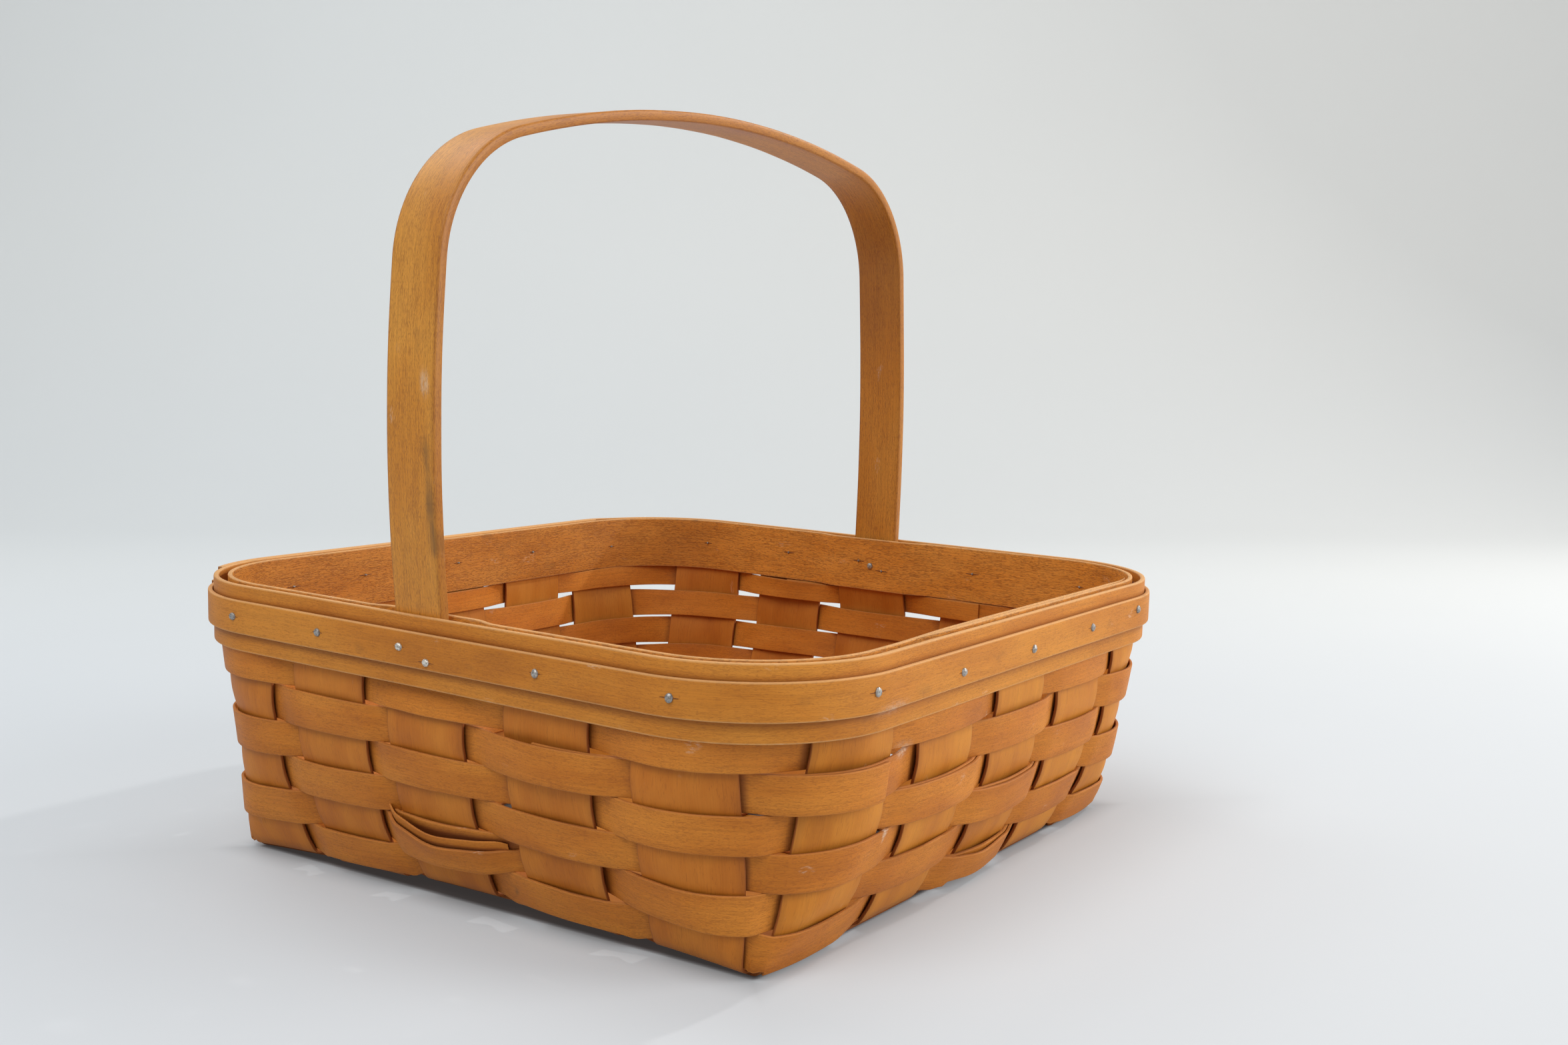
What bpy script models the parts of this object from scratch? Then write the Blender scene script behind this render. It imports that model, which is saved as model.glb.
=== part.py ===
"""Square woven splint basket with a fixed bentwood handle.

Ten flat splints run up the walls, across the base and up again, and six narrow weavers go
round them. Two wide bands clasp the tops of the splints and the legs of the handle, a trim
strip goes round the outer band, and tacks through the whole stack hold the rim together.

Metres, +Z up. The origin is the middle of the base, on the surface that the basket stands on.
The handle spans along X, and the rim stands a little higher at +Y. The four walls are
numbered in the order that a weaver meets them: 0 at -X, 1 at -Y, 2 at +X, 3 at +Y.
"""
import math

import bmesh
import bpy
from mathutils import Matrix, Vector

# Overall sizes
RIM_WIDTH = 0.306          # outside of the trim strip, on a side without a lap
RIM_HEIGHT = 0.108         # top edge of both bands, at the middle
WALL_FLARE = 0.0265        # by how much each side of the base is set back from the rim
BASE_CORNER_R = 0.005      # plan radius of the walls at the base
CORNER_FROM = 0.004        # height at which the corners start to round
RIM_LEAN = 0.024           # turn of the rim and handle about X, as in the hand-made basket
BASE_DRAWN_IN = 0.032      # share by which the base is narrower along Y than along X
BASE_DRAWN_HEIGHT = 0.045  # height over which the walls take that up
BASE_SHIFT = 0.001         # how far the base lies towards +Y
GAP = 0.0003               # clearance between pieces that lie on each other

BASE_WIDTH = RIM_WIDTH - 2 * WALL_FLARE
RIM_CORNER_R = 0.1634 * RIM_WIDTH
CORNER_SWELL = 0.44 * RIM_CORNER_R   # by how much the corners are rounder half way up

# Splints
SPLINT_PITCH = 0.2095 * BASE_WIDTH
SPLINT_WIDTH = 0.698 * SPLINT_PITCH
SPLINT_T = 0.0012
SPLINT_BEND_R = 0.0035     # where a splint turns from the base into the wall
SPLINT_BELOW_RIM = 0.003
# How far each splint was laid from its even place, as in the hand-made basket
DRIFT_ALONG_X = (-0.0005, 0.0010, 0.0045, 0.0010, -0.0015)
DRIFT_ALONG_Y = (0.0010, 0.0035, 0.0045, 0.0030, -0.0015)

# Rim
BAND_HEIGHT = 0.025
OUTER_BAND_T = 0.0020
INNER_BAND_T = 0.0018
OUTER_ROOM = 0.0024        # from the middle of the splints to the inside of the outer band
TRIM_HEIGHT = 0.0125
TRIM_T = 0.0018
TRIM_BELOW_RIM = 0.0054
# Laps: wall on which the lap starts, and the places of its two ends from that wall's
# middle, as shares of the rim's width
INNER_LAP = (1, -0.245, 0.366)
OUTER_LAP = (3, -0.343, 0.408)
TRIM_ENDS = (3, 0.4165, 0.4115)   # the trim strip's ends meet at the end of the outer band's lap
LAP_EASE = 0.012           # length in which a strip climbs onto the end below it

# Weavers
WEAVER_T = 0.0012
WEAVER_BULGE = 0.0009      # extra swing at the middle of each pass
WEAVER_FIRST_Z = 0.0034
WEAVER_SPACE = 0.0010      # between two weavers, one above the other
WEAVER_DIP = 0.0006        # the lowest weaver drops outside the splints and climbs inside
TOP_WEAVER_HEIGHT = 0.0096
# Lap of each weaver, from the lowest up: the splint at which it starts, the splint at which
# it ends after a full round, and how far across that splint, from -1 to 1
WEAVER_LAPS = ((6, 8, 0.0), (1, 3, 0.0), (6, 8, 0.0), (5, 7, 0.0), (3, 5, 0.7), (11, 13, 0.0))
LAP_TAIL = 0.2             # how far the first end reaches past its splint's middle

# Handle
HANDLE_WIDTH = 0.023
HANDLE_T = 0.0040
HANDLE_RISE = 0.1834       # from the rim to the outer face at the top of the crown
HANDLE_FOOT_ABOVE_BAND = 0.003
HANDLE_LEAN = 0.0034       # how far the handle leans towards -X at its bends
HANDLE_BOW = 0.0032        # how far each leg bows out half way up
HANDLE_BEND_R = 0.0534     # outer face, between a leg and the crown
HANDLE_CROWN_R = 0.447     # outer face
HANDLE_CROWN_SHIFT = 0.006 # how far the top of the crown lies towards +X
HANDLE_OFFSET = 0.0038     # the handle stands a little to one side
HANDLE_EDGE = 0.0006

# Tacks
TACK_HEAD_R = 0.0015
TACK_HEAD_T = 0.0007
TACK_SHANK_R = 0.0006
TACK_POINT = 0.0004        # how far the point shows on the inside
SHANK_SIDES = 4
HEAD_SIDES = 9
# Tacks by wall and splint: how far each was driven from the middle of its splint, in the
# direction that the weavers run, and how far above the trim strip's middle
TACK_DRIFT = (
    ((0.0046, 0.0), (0.0014, 0.0), None, (0.0009, 0.0), (-0.0006, 0.0)),
    ((0.0009, 0.0006), (-0.0015, -0.0015), (-0.0029, -0.0012), (-0.0039, -0.0001), (-0.0085, 0.0015)),
    ((0.0003, 0.0), (0.0013, 0.0), None, (-0.0003, 0.0), (0.0004, 0.0)),
    ((-0.0066, -0.0023), (0.0023, 0.0), (0.0005, -0.0003), (0.0020, 0.0), (-0.0150, -0.0008)),
)
# Two tacks through each of the handle's legs: across from the leg's middle, as a share of
# the handle's width, and up from the trim strip's middle
HANDLE_TACKS = ((0.287, 0.0004), (-0.287, -0.0034))

MAPLE = (0.60, 0.30, 0.10)
DARK_MAPLE = (0.52, 0.24, 0.08)
STEEL = (0.42, 0.42, 0.43)

WALLS = 4
LANES = 5
STAKES = WALLS * LANES
ROWS = 6
BASE_LOW = SPLINT_T / 2
BASE_HIGH = BASE_LOW + SPLINT_T + GAP
BAND_BOTTOM = RIM_HEIGHT - BAND_HEIGHT
SPLINT_TOP = RIM_HEIGHT - SPLINT_BELOW_RIM
TRIM_MIDDLE_Z = RIM_HEIGHT - TRIM_BELOW_RIM - TRIM_HEIGHT / 2
TOP_WEAVER_Z = BAND_BOTTOM - GAP - TOP_WEAVER_HEIGHT
WEAVER_PITCH = (TOP_WEAVER_Z - WEAVER_FIRST_Z - WEAVER_SPACE) / (ROWS - 1)
WEAVER_HEIGHT = WEAVER_PITCH - WEAVER_SPACE
HANDLE_TOP = RIM_HEIGHT + HANDLE_RISE
HANDLE_FOOT_Z = BAND_BOTTOM + HANDLE_FOOT_ABOVE_BAND
SEAT_FLAT = SPLINT_WIDTH / 2 + 0.001           # half the dent that a handle's leg presses
SEAT_REACH = SPLINT_PITCH - SPLINT_WIDTH / 2 - 0.0035
TRIM_MID = OUTER_ROOM + OUTER_BAND_T + GAP + TRIM_T / 2
OUTER_MID = OUTER_ROOM + OUTER_BAND_T / 2
INNER_MID = -(SPLINT_T / 2 + GAP + INNER_BAND_T / 2)
WALL_TOP_HALF = RIM_WIDTH / 2 - TRIM_MID - TRIM_T / 2
BASE_HALF = BASE_WIDTH / 2
UPRIGHT_FROM = BAND_BOTTOM
SEAT_DEPTH = HANDLE_T + 2 * GAP + SPLINT_T / 2 - OUTER_ROOM
WEAVER_CLEAR = (SPLINT_T + WEAVER_T) / 2 + GAP
BEND_SEGMENTS = 3
OUTER_SEGMENTS = 3         # across an outermost splint, which bends round the corner


def smooth(x):
    """Ease from 0 to 1."""
    x = min(max(x, 0.0), 1.0)
    return x * x * (3 - 2 * x)


def lane(index, drift):
    """Place of a splint across the base, the first at the negative end."""
    return (index - (LANES - 1) / 2) * SPLINT_PITCH + drift[index]


def stake_place(stake):
    """Wall and distance from its middle, in the direction that the weavers run."""
    wall, k = divmod(stake % STAKES, LANES)
    drift = DRIFT_ALONG_X if wall in (0, 2) else DRIFT_ALONG_Y
    if wall in (1, 2):
        return wall, lane(k, drift)
    return wall, -lane(LANES - 1 - k, drift)


def half_width(z):
    """Wall's distance from the middle: flared at the base and upright at the rim."""
    t = min(max(z / UPRIGHT_FROM, 0.0), 1.0)
    return BASE_HALF + (WALL_TOP_HALF - BASE_HALF) * (2 * t - t * t)


def wall_slope(z):
    step = 0.0005
    return math.atan2(half_width(z + step) - half_width(z - step), 2 * step)


def corner_radius(z):
    t = min(max((z - CORNER_FROM) / (UPRIGHT_FROM - CORNER_FROM), 0.0), 1.0)
    return BASE_CORNER_R + (RIM_CORNER_R - BASE_CORNER_R) * t + CORNER_SWELL * math.sin(math.pi * t)


def lean(z):
    """Turn about X at one height: none at the base and the whole of it at the rim."""
    share = min(max((z - CORNER_FROM) / (BAND_BOTTOM - CORNER_FROM), 0.0), 1.0)
    return Matrix.Rotation(RIM_LEAN * share, 3, 'X')


def drawn_in(point):
    """Point moved to where the narrower base puts it."""
    low = min(max((CORNER_FROM + BASE_DRAWN_HEIGHT - point.z) / BASE_DRAWN_HEIGHT, 0.0), 1.0) ** 2
    return Vector((point.x, point.y * (1 - BASE_DRAWN_IN * low) + BASE_SHIFT * low, point.z))


def quarter(z):
    """Length of one wall with its corners, measured along the wall."""
    r = corner_radius(z)
    return 2 * (half_width(z) - r) + math.pi / 2 * r


def handle_seat(z, wall, along):
    """Dent that the handle's leg presses into the wall below the rim's top."""
    if wall not in (0, 2):
        return 0.0
    middle = stake_place(wall * LANES + LANES // 2)[1]
    side = 1 - smooth((abs(along - middle) - SEAT_FLAT) / (SEAT_REACH - SEAT_FLAT))
    height = min(max((z - TOP_WEAVER_Z) / (BAND_BOTTOM - TOP_WEAVER_Z), 0.0), 1.0)
    return SEAT_DEPTH * side * height


def wall_point(wall, along, z, outward, seated=True):
    """Point on the walls, by its distance along a wall and out from the splints' middle.
    Pieces outside the handle's legs aren't seated: they pass them without a dent."""
    h, r = half_width(z), corner_radius(z)
    straight = h - r
    over = abs(along) - straight
    if over <= 0:
        x, y, turn = along, -h, 0.0
    else:
        turn = math.copysign(over / r, along)
        x = math.copysign(straight, along) + r * math.sin(turn)
        y = -straight - r * math.cos(turn)
    slope = wall_slope(z)
    out = outward - (handle_seat(z, wall, along) if seated else 0.0)
    normal = Vector((math.sin(turn) * math.cos(slope), -math.cos(turn) * math.cos(slope), -math.sin(slope)))
    point = Vector((x, y, z)) + normal * out
    return Matrix.Rotation((wall - 1) * math.pi / 2, 3, 'Z') @ point


def material(name, colour, roughness, metallic=0.0):
    mat = bpy.data.materials.get(name) or bpy.data.materials.new(name)
    mat.use_nodes = True
    shader = mat.node_tree.nodes['Principled BSDF']
    shader.inputs['Base Color'].default_value = (*colour, 1.0)
    shader.inputs['Roughness'].default_value = roughness
    shader.inputs['Metallic'].default_value = metallic
    return mat


def add_object(name, bm, mat, collection):
    mesh = bpy.data.meshes.new(name)
    bm.to_mesh(mesh)
    bm.free()
    mesh.materials.append(mat)
    obj = bpy.data.objects.new(name, mesh)
    collection.objects.link(obj)
    return obj


def strip(name, stations, across, place, thickness, mat, collection, diagonal='FIXED'):
    """Thin strip of wood: a grid whose points are placed by their station and their share
    of the width, and which then gets its thickness on both sides. Its twisted quads are cut
    along the same diagonals as those of the strips that lie on it."""
    bm = bmesh.new()
    bmesh.ops.create_grid(bm, x_segments=len(stations) - 1, y_segments=across, size=0.5)
    for vert in bm.verts:
        station = stations[round((vert.co.x + 0.5) * (len(stations) - 1))]
        point = place(station, vert.co.y + 0.5)
        vert.co = lean(point.z) @ drawn_in(point)
    bmesh.ops.triangulate(bm, faces=bm.faces, quad_method=diagonal)
    obj = add_object(name, bm, mat, collection)
    solid = obj.modifiers.new('Thickness', 'SOLIDIFY')
    solid.thickness = thickness
    solid.offset = 0.0
    solid.use_even_offset = True
    return obj


def splint_stations(lanes_crossed, low):
    """Stations of a splint from one rim to the other.

    A station is (side, height) on a wall, or (None, distance, height) over the base.
    low says for each splint that is crossed, from the negative side on, whether this one
    lies under it."""
    stations = []
    reach = SPLINT_WIDTH / 2 + 0.0005
    row_tops = [WEAVER_FIRST_Z + row * WEAVER_PITCH - WEAVER_SPACE / 2 for row in range(1, ROWS - 1)]
    wall_heights = row_tops + [TOP_WEAVER_Z, BAND_BOTTOM, SPLINT_TOP]
    for side in (-1, 1):
        base_z = BASE_LOW if low[0 if side < 0 else -1] else BASE_HIGH
        turn = math.pi / 2 - wall_slope(base_z + SPLINT_BEND_R)
        end_z = base_z + SPLINT_BEND_R * (1 - math.cos(turn))
        start = half_width(end_z) - SPLINT_BEND_R * math.sin(turn)
        bend = []
        for n in range(BEND_SEGMENTS):
            angle = turn * n / BEND_SEGMENTS
            distance = start + SPLINT_BEND_R * math.sin(angle)
            height = base_z + SPLINT_BEND_R * (1 - math.cos(angle))
            bend.append((None, side * distance, height))
        wall = [(side, z) for z in [end_z] + wall_heights]
        run = bend + wall
        if side < 0:
            stations += run[::-1]
            for place, under in zip(lanes_crossed, low):
                z = BASE_LOW if under else BASE_HIGH
                if place != lanes_crossed[0]:
                    stations.append((None, place - reach, z))
                if place != lanes_crossed[-1]:
                    stations.append((None, place + reach, z))
        else:
            stations += run
    return stations


def splint(index, along_x, mat, collection):
    """One splint, up one wall, across the base and up the opposite wall."""
    drift = DRIFT_ALONG_X if along_x else DRIFT_ALONG_Y
    crossed = DRIFT_ALONG_Y if along_x else DRIFT_ALONG_X
    across_at = lane(index, drift)
    lanes_crossed = [lane(j, crossed) for j in range(LANES)]
    low = [(index + j) % 2 == (1 if along_x else 0) for j in range(LANES)]
    outer_lane = index in (0, LANES - 1)

    def place(station, share):
        offset = across_at + (share - 0.5) * SPLINT_WIDTH
        if station[0] is None:
            distance, z = station[1:]
            return Vector((distance, offset, z)) if along_x else Vector((offset, distance, z))
        side, z = station
        if along_x:
            wall, along = (0, -offset) if side < 0 else (2, offset)
        else:
            wall, along = (1, offset) if side < 0 else (3, -offset)
        return wall_point(wall, along, z, 0.0)

    name = 'splint_%s_%d' % ('along_x' if along_x else 'along_y', index + 1)
    stations = splint_stations(lanes_crossed, low)
    return strip(name, stations, OUTER_SEGMENTS if outer_lane else 1, place, SPLINT_T, mat, collection,
                 'FIXED' if along_x else 'ALTERNATE')


def stake_length(stake, z):
    """Length round the basket at which a splint's middle stands, at one height."""
    turns, rest = divmod(stake, STAKES)
    wall, along = stake_place(rest)
    return (turns * WALLS + wall) * quarter(z) + along


def across_parts():
    """Places across an outermost splint, from -1 to 1, at which everything round it turns."""
    return [2 * n / OUTER_SEGMENTS - 1 for n in range(OUTER_SEGMENTS + 1)]


def to_wall(length, z):
    """Wall and distance along it, from a length round the basket."""
    wall = math.floor(length / quarter(z) + 0.5)
    return wall % WALLS, length - wall * quarter(z)


def weaver(row, mat, collection):
    """One weaver: over and under the splints, once round, with its ends on each other.

    A station is (splint, part): part runs from -1 to 1 across the splint and from 1 to 2
    in the space after it."""
    top_row = row == ROWS - 1
    bottom = TOP_WEAVER_Z if top_row else WEAVER_FIRST_Z + row * WEAVER_PITCH
    top = BAND_BOTTOM - GAP if top_row else bottom + WEAVER_HEIGHT
    middle = (bottom + top) / 2
    half = SPLINT_WIDTH / 2
    first_stake, last_stake, reach = WEAVER_LAPS[row]
    parity = ROWS - 1 - row

    stations = []
    for stake in range(first_stake, last_stake + STAKES + 1):
        corner = stake % LANES == LANES - 1
        parts = across_parts() if stake % LANES in (0, LANES - 1) else [-1.0, 0.0, 1.0]
        parts += [1.25, 1.42, 1.58, 1.75] if corner else [1.5]
        stations += [(stake, part) for part in parts]
    stations = [(first_stake, -LAP_TAIL)] + [s for s in stations if s > (first_stake, -LAP_TAIL / 2)]
    stations = [s for s in stations if s < (last_stake + STAKES, reach - 0.1)]
    stations.append((last_stake + STAKES, reach))

    def length_at(station, z):
        stake, part = station
        here = stake_length(stake, z)
        if part <= 1:
            return here + part * half
        edge, next_edge = here + half, stake_length(stake + 1, z) - half
        return edge + (next_edge - edge) * (part - 1)

    def swing(station):
        """Offset of a plain weaver: 1 at a splint's edges, and a little more at its middle."""
        stake, part = station
        sign = 1 if (stake + parity) % 2 == 0 else -1
        if part <= 1:
            return sign * (1 + WEAVER_BULGE / WEAVER_CLEAR * math.cos(math.pi / 2 * part))
        return sign * math.cos(math.pi * (part - 1))

    lap_start = length_at((first_stake + STAKES, -LAP_TAIL), middle)
    lap_end = length_at((last_stake, reach), middle)
    ease = 2 * half

    def place(station, share):
        length = length_at(station, middle)
        wave = swing(station)
        first = 1 - smooth((length - lap_end) / ease)
        last = smooth((length - lap_start + ease) / ease)
        spread = WEAVER_T + GAP
        out = wave * (WEAVER_CLEAR + spread / 2 * max(first, last)) + spread / 2 * (last - first)
        z = bottom + share * (top - bottom)
        here = length_at(station, z)
        if row == 0:
            z -= WEAVER_DIP * max(min(wave, 1.0), -1.0)
        wall, along = to_wall(here, bottom + share * (top - bottom))
        return wall_point(wall, along, z, out)

    name = 'weaver_%d' % (row + 1)
    return strip(name, stations, 1, place, WEAVER_T, mat, collection)


def turning_lengths():
    """Lengths round the rim at which the pieces turn or are pressed in."""
    side = quarter(RIM_HEIGHT)
    marks = []
    for wall in range(-1, 3 * WALLS):
        middle = wall * side
        marks.append(middle + side / 2)
        for k in (0, LANES - 1):
            edge = middle + stake_place(wall % WALLS * LANES + k)[1]
            marks += [edge + part * SPLINT_WIDTH / 2 for part in across_parts()]
        if wall % 2 == 0:
            seat = middle + stake_place(wall % WALLS * LANES + LANES // 2)[1]
            for step in (SEAT_FLAT, (SEAT_FLAT + SEAT_REACH) / 2, SEAT_REACH):
                marks += [seat - step, seat + step]
    return sorted(marks)


def rim_point(length, z, outward, seated):
    """Point on the rim, on the straight line between the two places next to it where the
    pieces turn, so that everything in the rim lies parallel."""
    marks = turning_lengths()
    after = next(n for n, mark in enumerate(marks) if mark >= length)
    before, after = marks[after - 1], marks[after]
    start, end = [wall_point(*to_wall(mark, z), z, outward, seated) for mark in (before, after)]
    return start.lerp(end, (length - before) / (after - before))


def ring(name, bottom, top, mid, lap, lap_side, below, thickness, mat, collection):
    """Band round the rim, with its ends lapped. lap is (wall, start, end); over the lap the
    strip's last end lies outside (lap_side 1) or inside (-1) its first end, and with 0 the
    ends only meet. below gives the rise of what the band lies on, by its length."""
    z0 = (bottom + top) / 2
    side = quarter(z0)
    start = lap[0] * side + lap[1] * RIM_WIDTH
    over = (lap[2] - lap[1]) * RIM_WIDTH
    end = start + WALLS * side + over
    marks = set(turning_lengths())
    for edge in (start, end, start + over, start + WALLS * side):
        marks.update(edge + LAP_EASE * n / 2 for n in range(-2, 3))
    if below:
        marks.update(below(None))
    stations = [m for m in sorted(marks) if start <= m <= end]
    kept = [stations[0]]
    for mark in stations[1:]:
        if mark - kept[-1] > 2 * GAP:
            kept.append(mark)
    kept[-1] = end

    def place(length, share):
        rise = smooth((length - start - WALLS * side + LAP_EASE) / LAP_EASE)
        out = mid + lap_side * rise * (thickness + GAP)
        if below:
            out += below(length)
        return rim_point(length, bottom + share * (top - bottom), out, mid < 0)

    return strip(name, kept, 1, place, thickness, mat, collection)


def outer_lap_rise(length):
    """Rise of the outer band's lap under the trim strip; without a length, its steps."""
    side = quarter(TRIM_MIDDLE_Z)
    start = OUTER_LAP[1] * RIM_WIDTH - LAP_EASE * 4 / 3
    if length is None:
        marks = []
        for turn in (0, 1):
            marks += [(OUTER_LAP[0] + turn * WALLS) * side + start + LAP_EASE * n / 2 for n in range(3)]
        return marks
    half_round = WALLS / 2 * side
    along = (length - OUTER_LAP[0] * side + half_round) % (2 * half_round) - half_round
    if along > (TRIM_ENDS[1] + TRIM_ENDS[2]) / 2 * RIM_WIDTH:
        return 0.0
    return smooth((along - start) / LAP_EASE) * (OUTER_BAND_T + GAP)


def handle(mat, collection):
    """Bentwood handle: two legs, two bends and a low crown, in one strip."""
    leg = WALL_TOP_HALF - SEAT_DEPTH + SPLINT_T / 2 + GAP + HANDLE_T / 2
    crown_r = HANDLE_CROWN_R - HANDLE_T / 2
    bend_r = HANDLE_BEND_R - HANDLE_T / 2
    top = HANDLE_TOP - HANDLE_T / 2
    crown_z = top - crown_r
    path = []
    for side in (1, -1):
        bend_x = leg - side * HANDLE_LEAN - bend_r
        aside = bend_x - side * HANDLE_CROWN_SHIFT
        bend_z = crown_z + math.sqrt((crown_r - bend_r) ** 2 - aside ** 2)
        crown_turn = math.asin(aside / (crown_r - bend_r))
        bend_from = math.atan(math.pi * HANDLE_BOW / (bend_z - RIM_HEIGHT))
        leg_end = (bend_x + bend_r * math.cos(bend_from), bend_z + bend_r * math.sin(bend_from))
        half = [(leg, HANDLE_FOOT_Z), (leg, RIM_HEIGHT)]
        for n in range(1, 6):
            t = n / 6
            x = leg + (leg_end[0] - leg) * math.sin(math.pi / 2 * t) + HANDLE_BOW * math.sin(math.pi * t)
            half.append((x, RIM_HEIGHT + (leg_end[1] - RIM_HEIGHT) * t))
        for n in range(9):
            angle = bend_from + (math.pi / 2 - crown_turn - bend_from) * n / 8
            half.append((bend_x + bend_r * math.cos(angle), bend_z + bend_r * math.sin(angle)))
        for n in range(1, 8):
            angle = crown_turn * (1 - n / 7)
            half.append((side * HANDLE_CROWN_SHIFT + crown_r * math.sin(angle), crown_z + crown_r * math.cos(angle)))
        if side > 0:
            path = half
        else:
            path += [(-x, z) for x, z in reversed(half[:-1])]

    def place(station, share):
        x, z = station
        return Vector((x, HANDLE_OFFSET + (share - 0.5) * HANDLE_WIDTH, z))

    obj = strip('handle', path, 1, place, HANDLE_T, mat, collection)
    bevel = obj.modifiers.new('Eased edges', 'BEVEL')
    bevel.width = HANDLE_EDGE
    bevel.segments = 1
    bevel.limit_method = 'ANGLE'
    bevel.angle_limit = math.radians(60)
    return obj


def frame_at(wall, along, z):
    """Place on the walls' middle surface and the direction straight out from it."""
    length = wall * quarter(z) + along
    point = rim_point(length, z, 0.0, False)
    out = rim_point(length, z, 0.01, False) - point
    return point, out.normalized()


def tack_list():
    """Every tack: name, wall, distance along it, height, and whether its head is inside."""
    tacks = []
    for wall, drifts in enumerate(TACK_DRIFT):
        for k, drift in enumerate(drifts):
            if drift:
                along = stake_place(wall * LANES + k)[1] + drift[0]
                tacks.append(('wall%d_tack%d' % (wall, k + 1), wall, along, TRIM_MIDDLE_Z + drift[1], False))
    for wall in (0, 2):
        side = 1 if wall == 2 else -1
        leg = side * HANDLE_OFFSET
        for n, (across, up) in enumerate(HANDLE_TACKS):
            name = 'handle%d_tack%d' % (wall, n + 1)
            tacks.append((name, wall, leg + side * across * HANDLE_WIDTH, TRIM_MIDDLE_Z + up, False))
        tacks.append(('handle%d_inner_tack' % wall, wall, leg, TRIM_MIDDLE_Z - 0.0015, True))
    return tacks


def in_lap(lap, wall, along):
    return wall == lap[0] and lap[1] * RIM_WIDTH - LAP_EASE < along < lap[2] * RIM_WIDTH + LAP_EASE


def tack_reach(wall, along):
    """Outermost and innermost faces of the rim at a tack, from the splints' middle."""
    side = quarter(TRIM_MIDDLE_Z)
    outer = TRIM_MID + TRIM_T / 2 + outer_lap_rise(wall * side + along)
    inner = INNER_MID - INNER_BAND_T / 2 - handle_seat(TRIM_MIDDLE_Z, wall, along)
    if in_lap(INNER_LAP, wall, along):
        inner -= INNER_BAND_T + GAP
    return outer, inner


def tack(name, wall, along, z, inside, mat, collection, drills):
    """Tack with a flat round head and a square-cut shank through the whole rim."""
    point, out = frame_at(wall, along, z)
    outer, inner = tack_reach(wall, along)
    if inside:
        head_at, tip_at, outward = inner - GAP, outer - TRIM_T - GAP, -out
        length = tip_at - head_at
    else:
        head_at, tip_at, outward = outer + GAP, inner - TACK_POINT, out
        length = head_at - tip_at
    turn = outward.to_track_quat('Z', 'Y').to_matrix().to_4x4()
    base = lean(z).to_4x4() @ Matrix.Translation(point + out * head_at) @ turn
    bm = bmesh.new()
    bmesh.ops.create_cone(bm, cap_ends=True, segments=HEAD_SIDES, radius1=TACK_HEAD_R,
                          radius2=TACK_HEAD_R * 0.6, depth=TACK_HEAD_T,
                          matrix=Matrix.Translation((0, 0, TACK_HEAD_T / 2)))
    head = add_object(name, bm, mat, collection)
    head.matrix_world = base
    bm = bmesh.new()
    overlap = TACK_HEAD_T / 2
    bmesh.ops.create_cone(bm, cap_ends=True, segments=SHANK_SIDES, radius1=TACK_SHANK_R * 0.5, radius2=TACK_SHANK_R,
                          depth=length + overlap, matrix=Matrix.Translation((0, 0, (overlap - length) / 2)))
    shank = add_object(name + '_shank', bm, mat, drills)
    shank.matrix_world = base
    shank.hide_render = True
    shank.display_type = 'WIRE'
    join = head.modifiers.new('Shank', 'BOOLEAN')
    join.operation = 'UNION'
    join.object = shank
    return base, length


def drill_all(pieces, bores, collection):
    """Holes for the tacks' shanks in every piece that they go through."""
    bm = bmesh.new()
    for base, length in bores:
        reach = length + 0.003
        bmesh.ops.create_cone(bm, cap_ends=True, segments=SHANK_SIDES, radius1=TACK_SHANK_R + GAP,
                              radius2=TACK_SHANK_R + GAP, depth=reach,
                              matrix=base @ Matrix.Translation((0, 0, 0.0005 - reach / 2)))
    cutter = add_object('tack_holes', bm, material('steel', STEEL, 0.4, 1.0), collection)
    cutter.hide_render = True
    cutter.display_type = 'WIRE'
    for piece in pieces:
        cut = piece.modifiers.new('Tack holes', 'BOOLEAN')
        cut.operation = 'DIFFERENCE'
        cut.solver = 'MANIFOLD'
        cut.object = cutter


def main():
    for obj in list(bpy.data.objects):
        bpy.data.objects.remove(obj)
    basket = bpy.data.collections.new('Square handled basket')
    cutters = bpy.data.collections.new('Cutters')
    for collection in (basket, cutters):
        bpy.context.scene.collection.children.link(collection)
    maple = material('maple', MAPLE, 0.55)
    dark = material('dark_maple', DARK_MAPLE, 0.6)
    steel = material('steel', STEEL, 0.4, 1.0)

    splints = [splint(k, along_x, maple, basket) for along_x in (True, False) for k in range(LANES)]
    for row in range(ROWS):
        weaver(row, dark, basket)
    inner = ring('inner_band', BAND_BOTTOM, RIM_HEIGHT, INNER_MID, INNER_LAP, -1, None,
                 INNER_BAND_T, maple, basket)
    outer = ring('outer_band', BAND_BOTTOM, RIM_HEIGHT, OUTER_MID, OUTER_LAP, 1, None,
                 OUTER_BAND_T, maple, basket)
    trim = ring('trim_strip', TRIM_MIDDLE_Z - TRIM_HEIGHT / 2, TRIM_MIDDLE_Z + TRIM_HEIGHT / 2, TRIM_MID,
                TRIM_ENDS, 0, outer_lap_rise, TRIM_T, maple, basket)
    bail = handle(maple, basket)
    bores = [tack(*entry, steel, basket, cutters) for entry in tack_list()]
    drill_all(splints + [inner, outer, trim, bail], bores, cutters)


main()
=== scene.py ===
"""Looks of the square woven splint basket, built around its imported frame.

Every strip of wood is made again as a fine middle surface, from the same sizes as the frame,
and gets its thickness, eased edges and faint ripple from one Geometry Nodes tree. Each point
carries the wood's own coordinates, along, across and through the strip, for the grain.
"""

import bisect
import random
from math import asin, atan, atan2, copysign, cos, exp, floor, hypot, pi, sin, sqrt

import bpy
from mathutils import Matrix, Vector, noise


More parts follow.
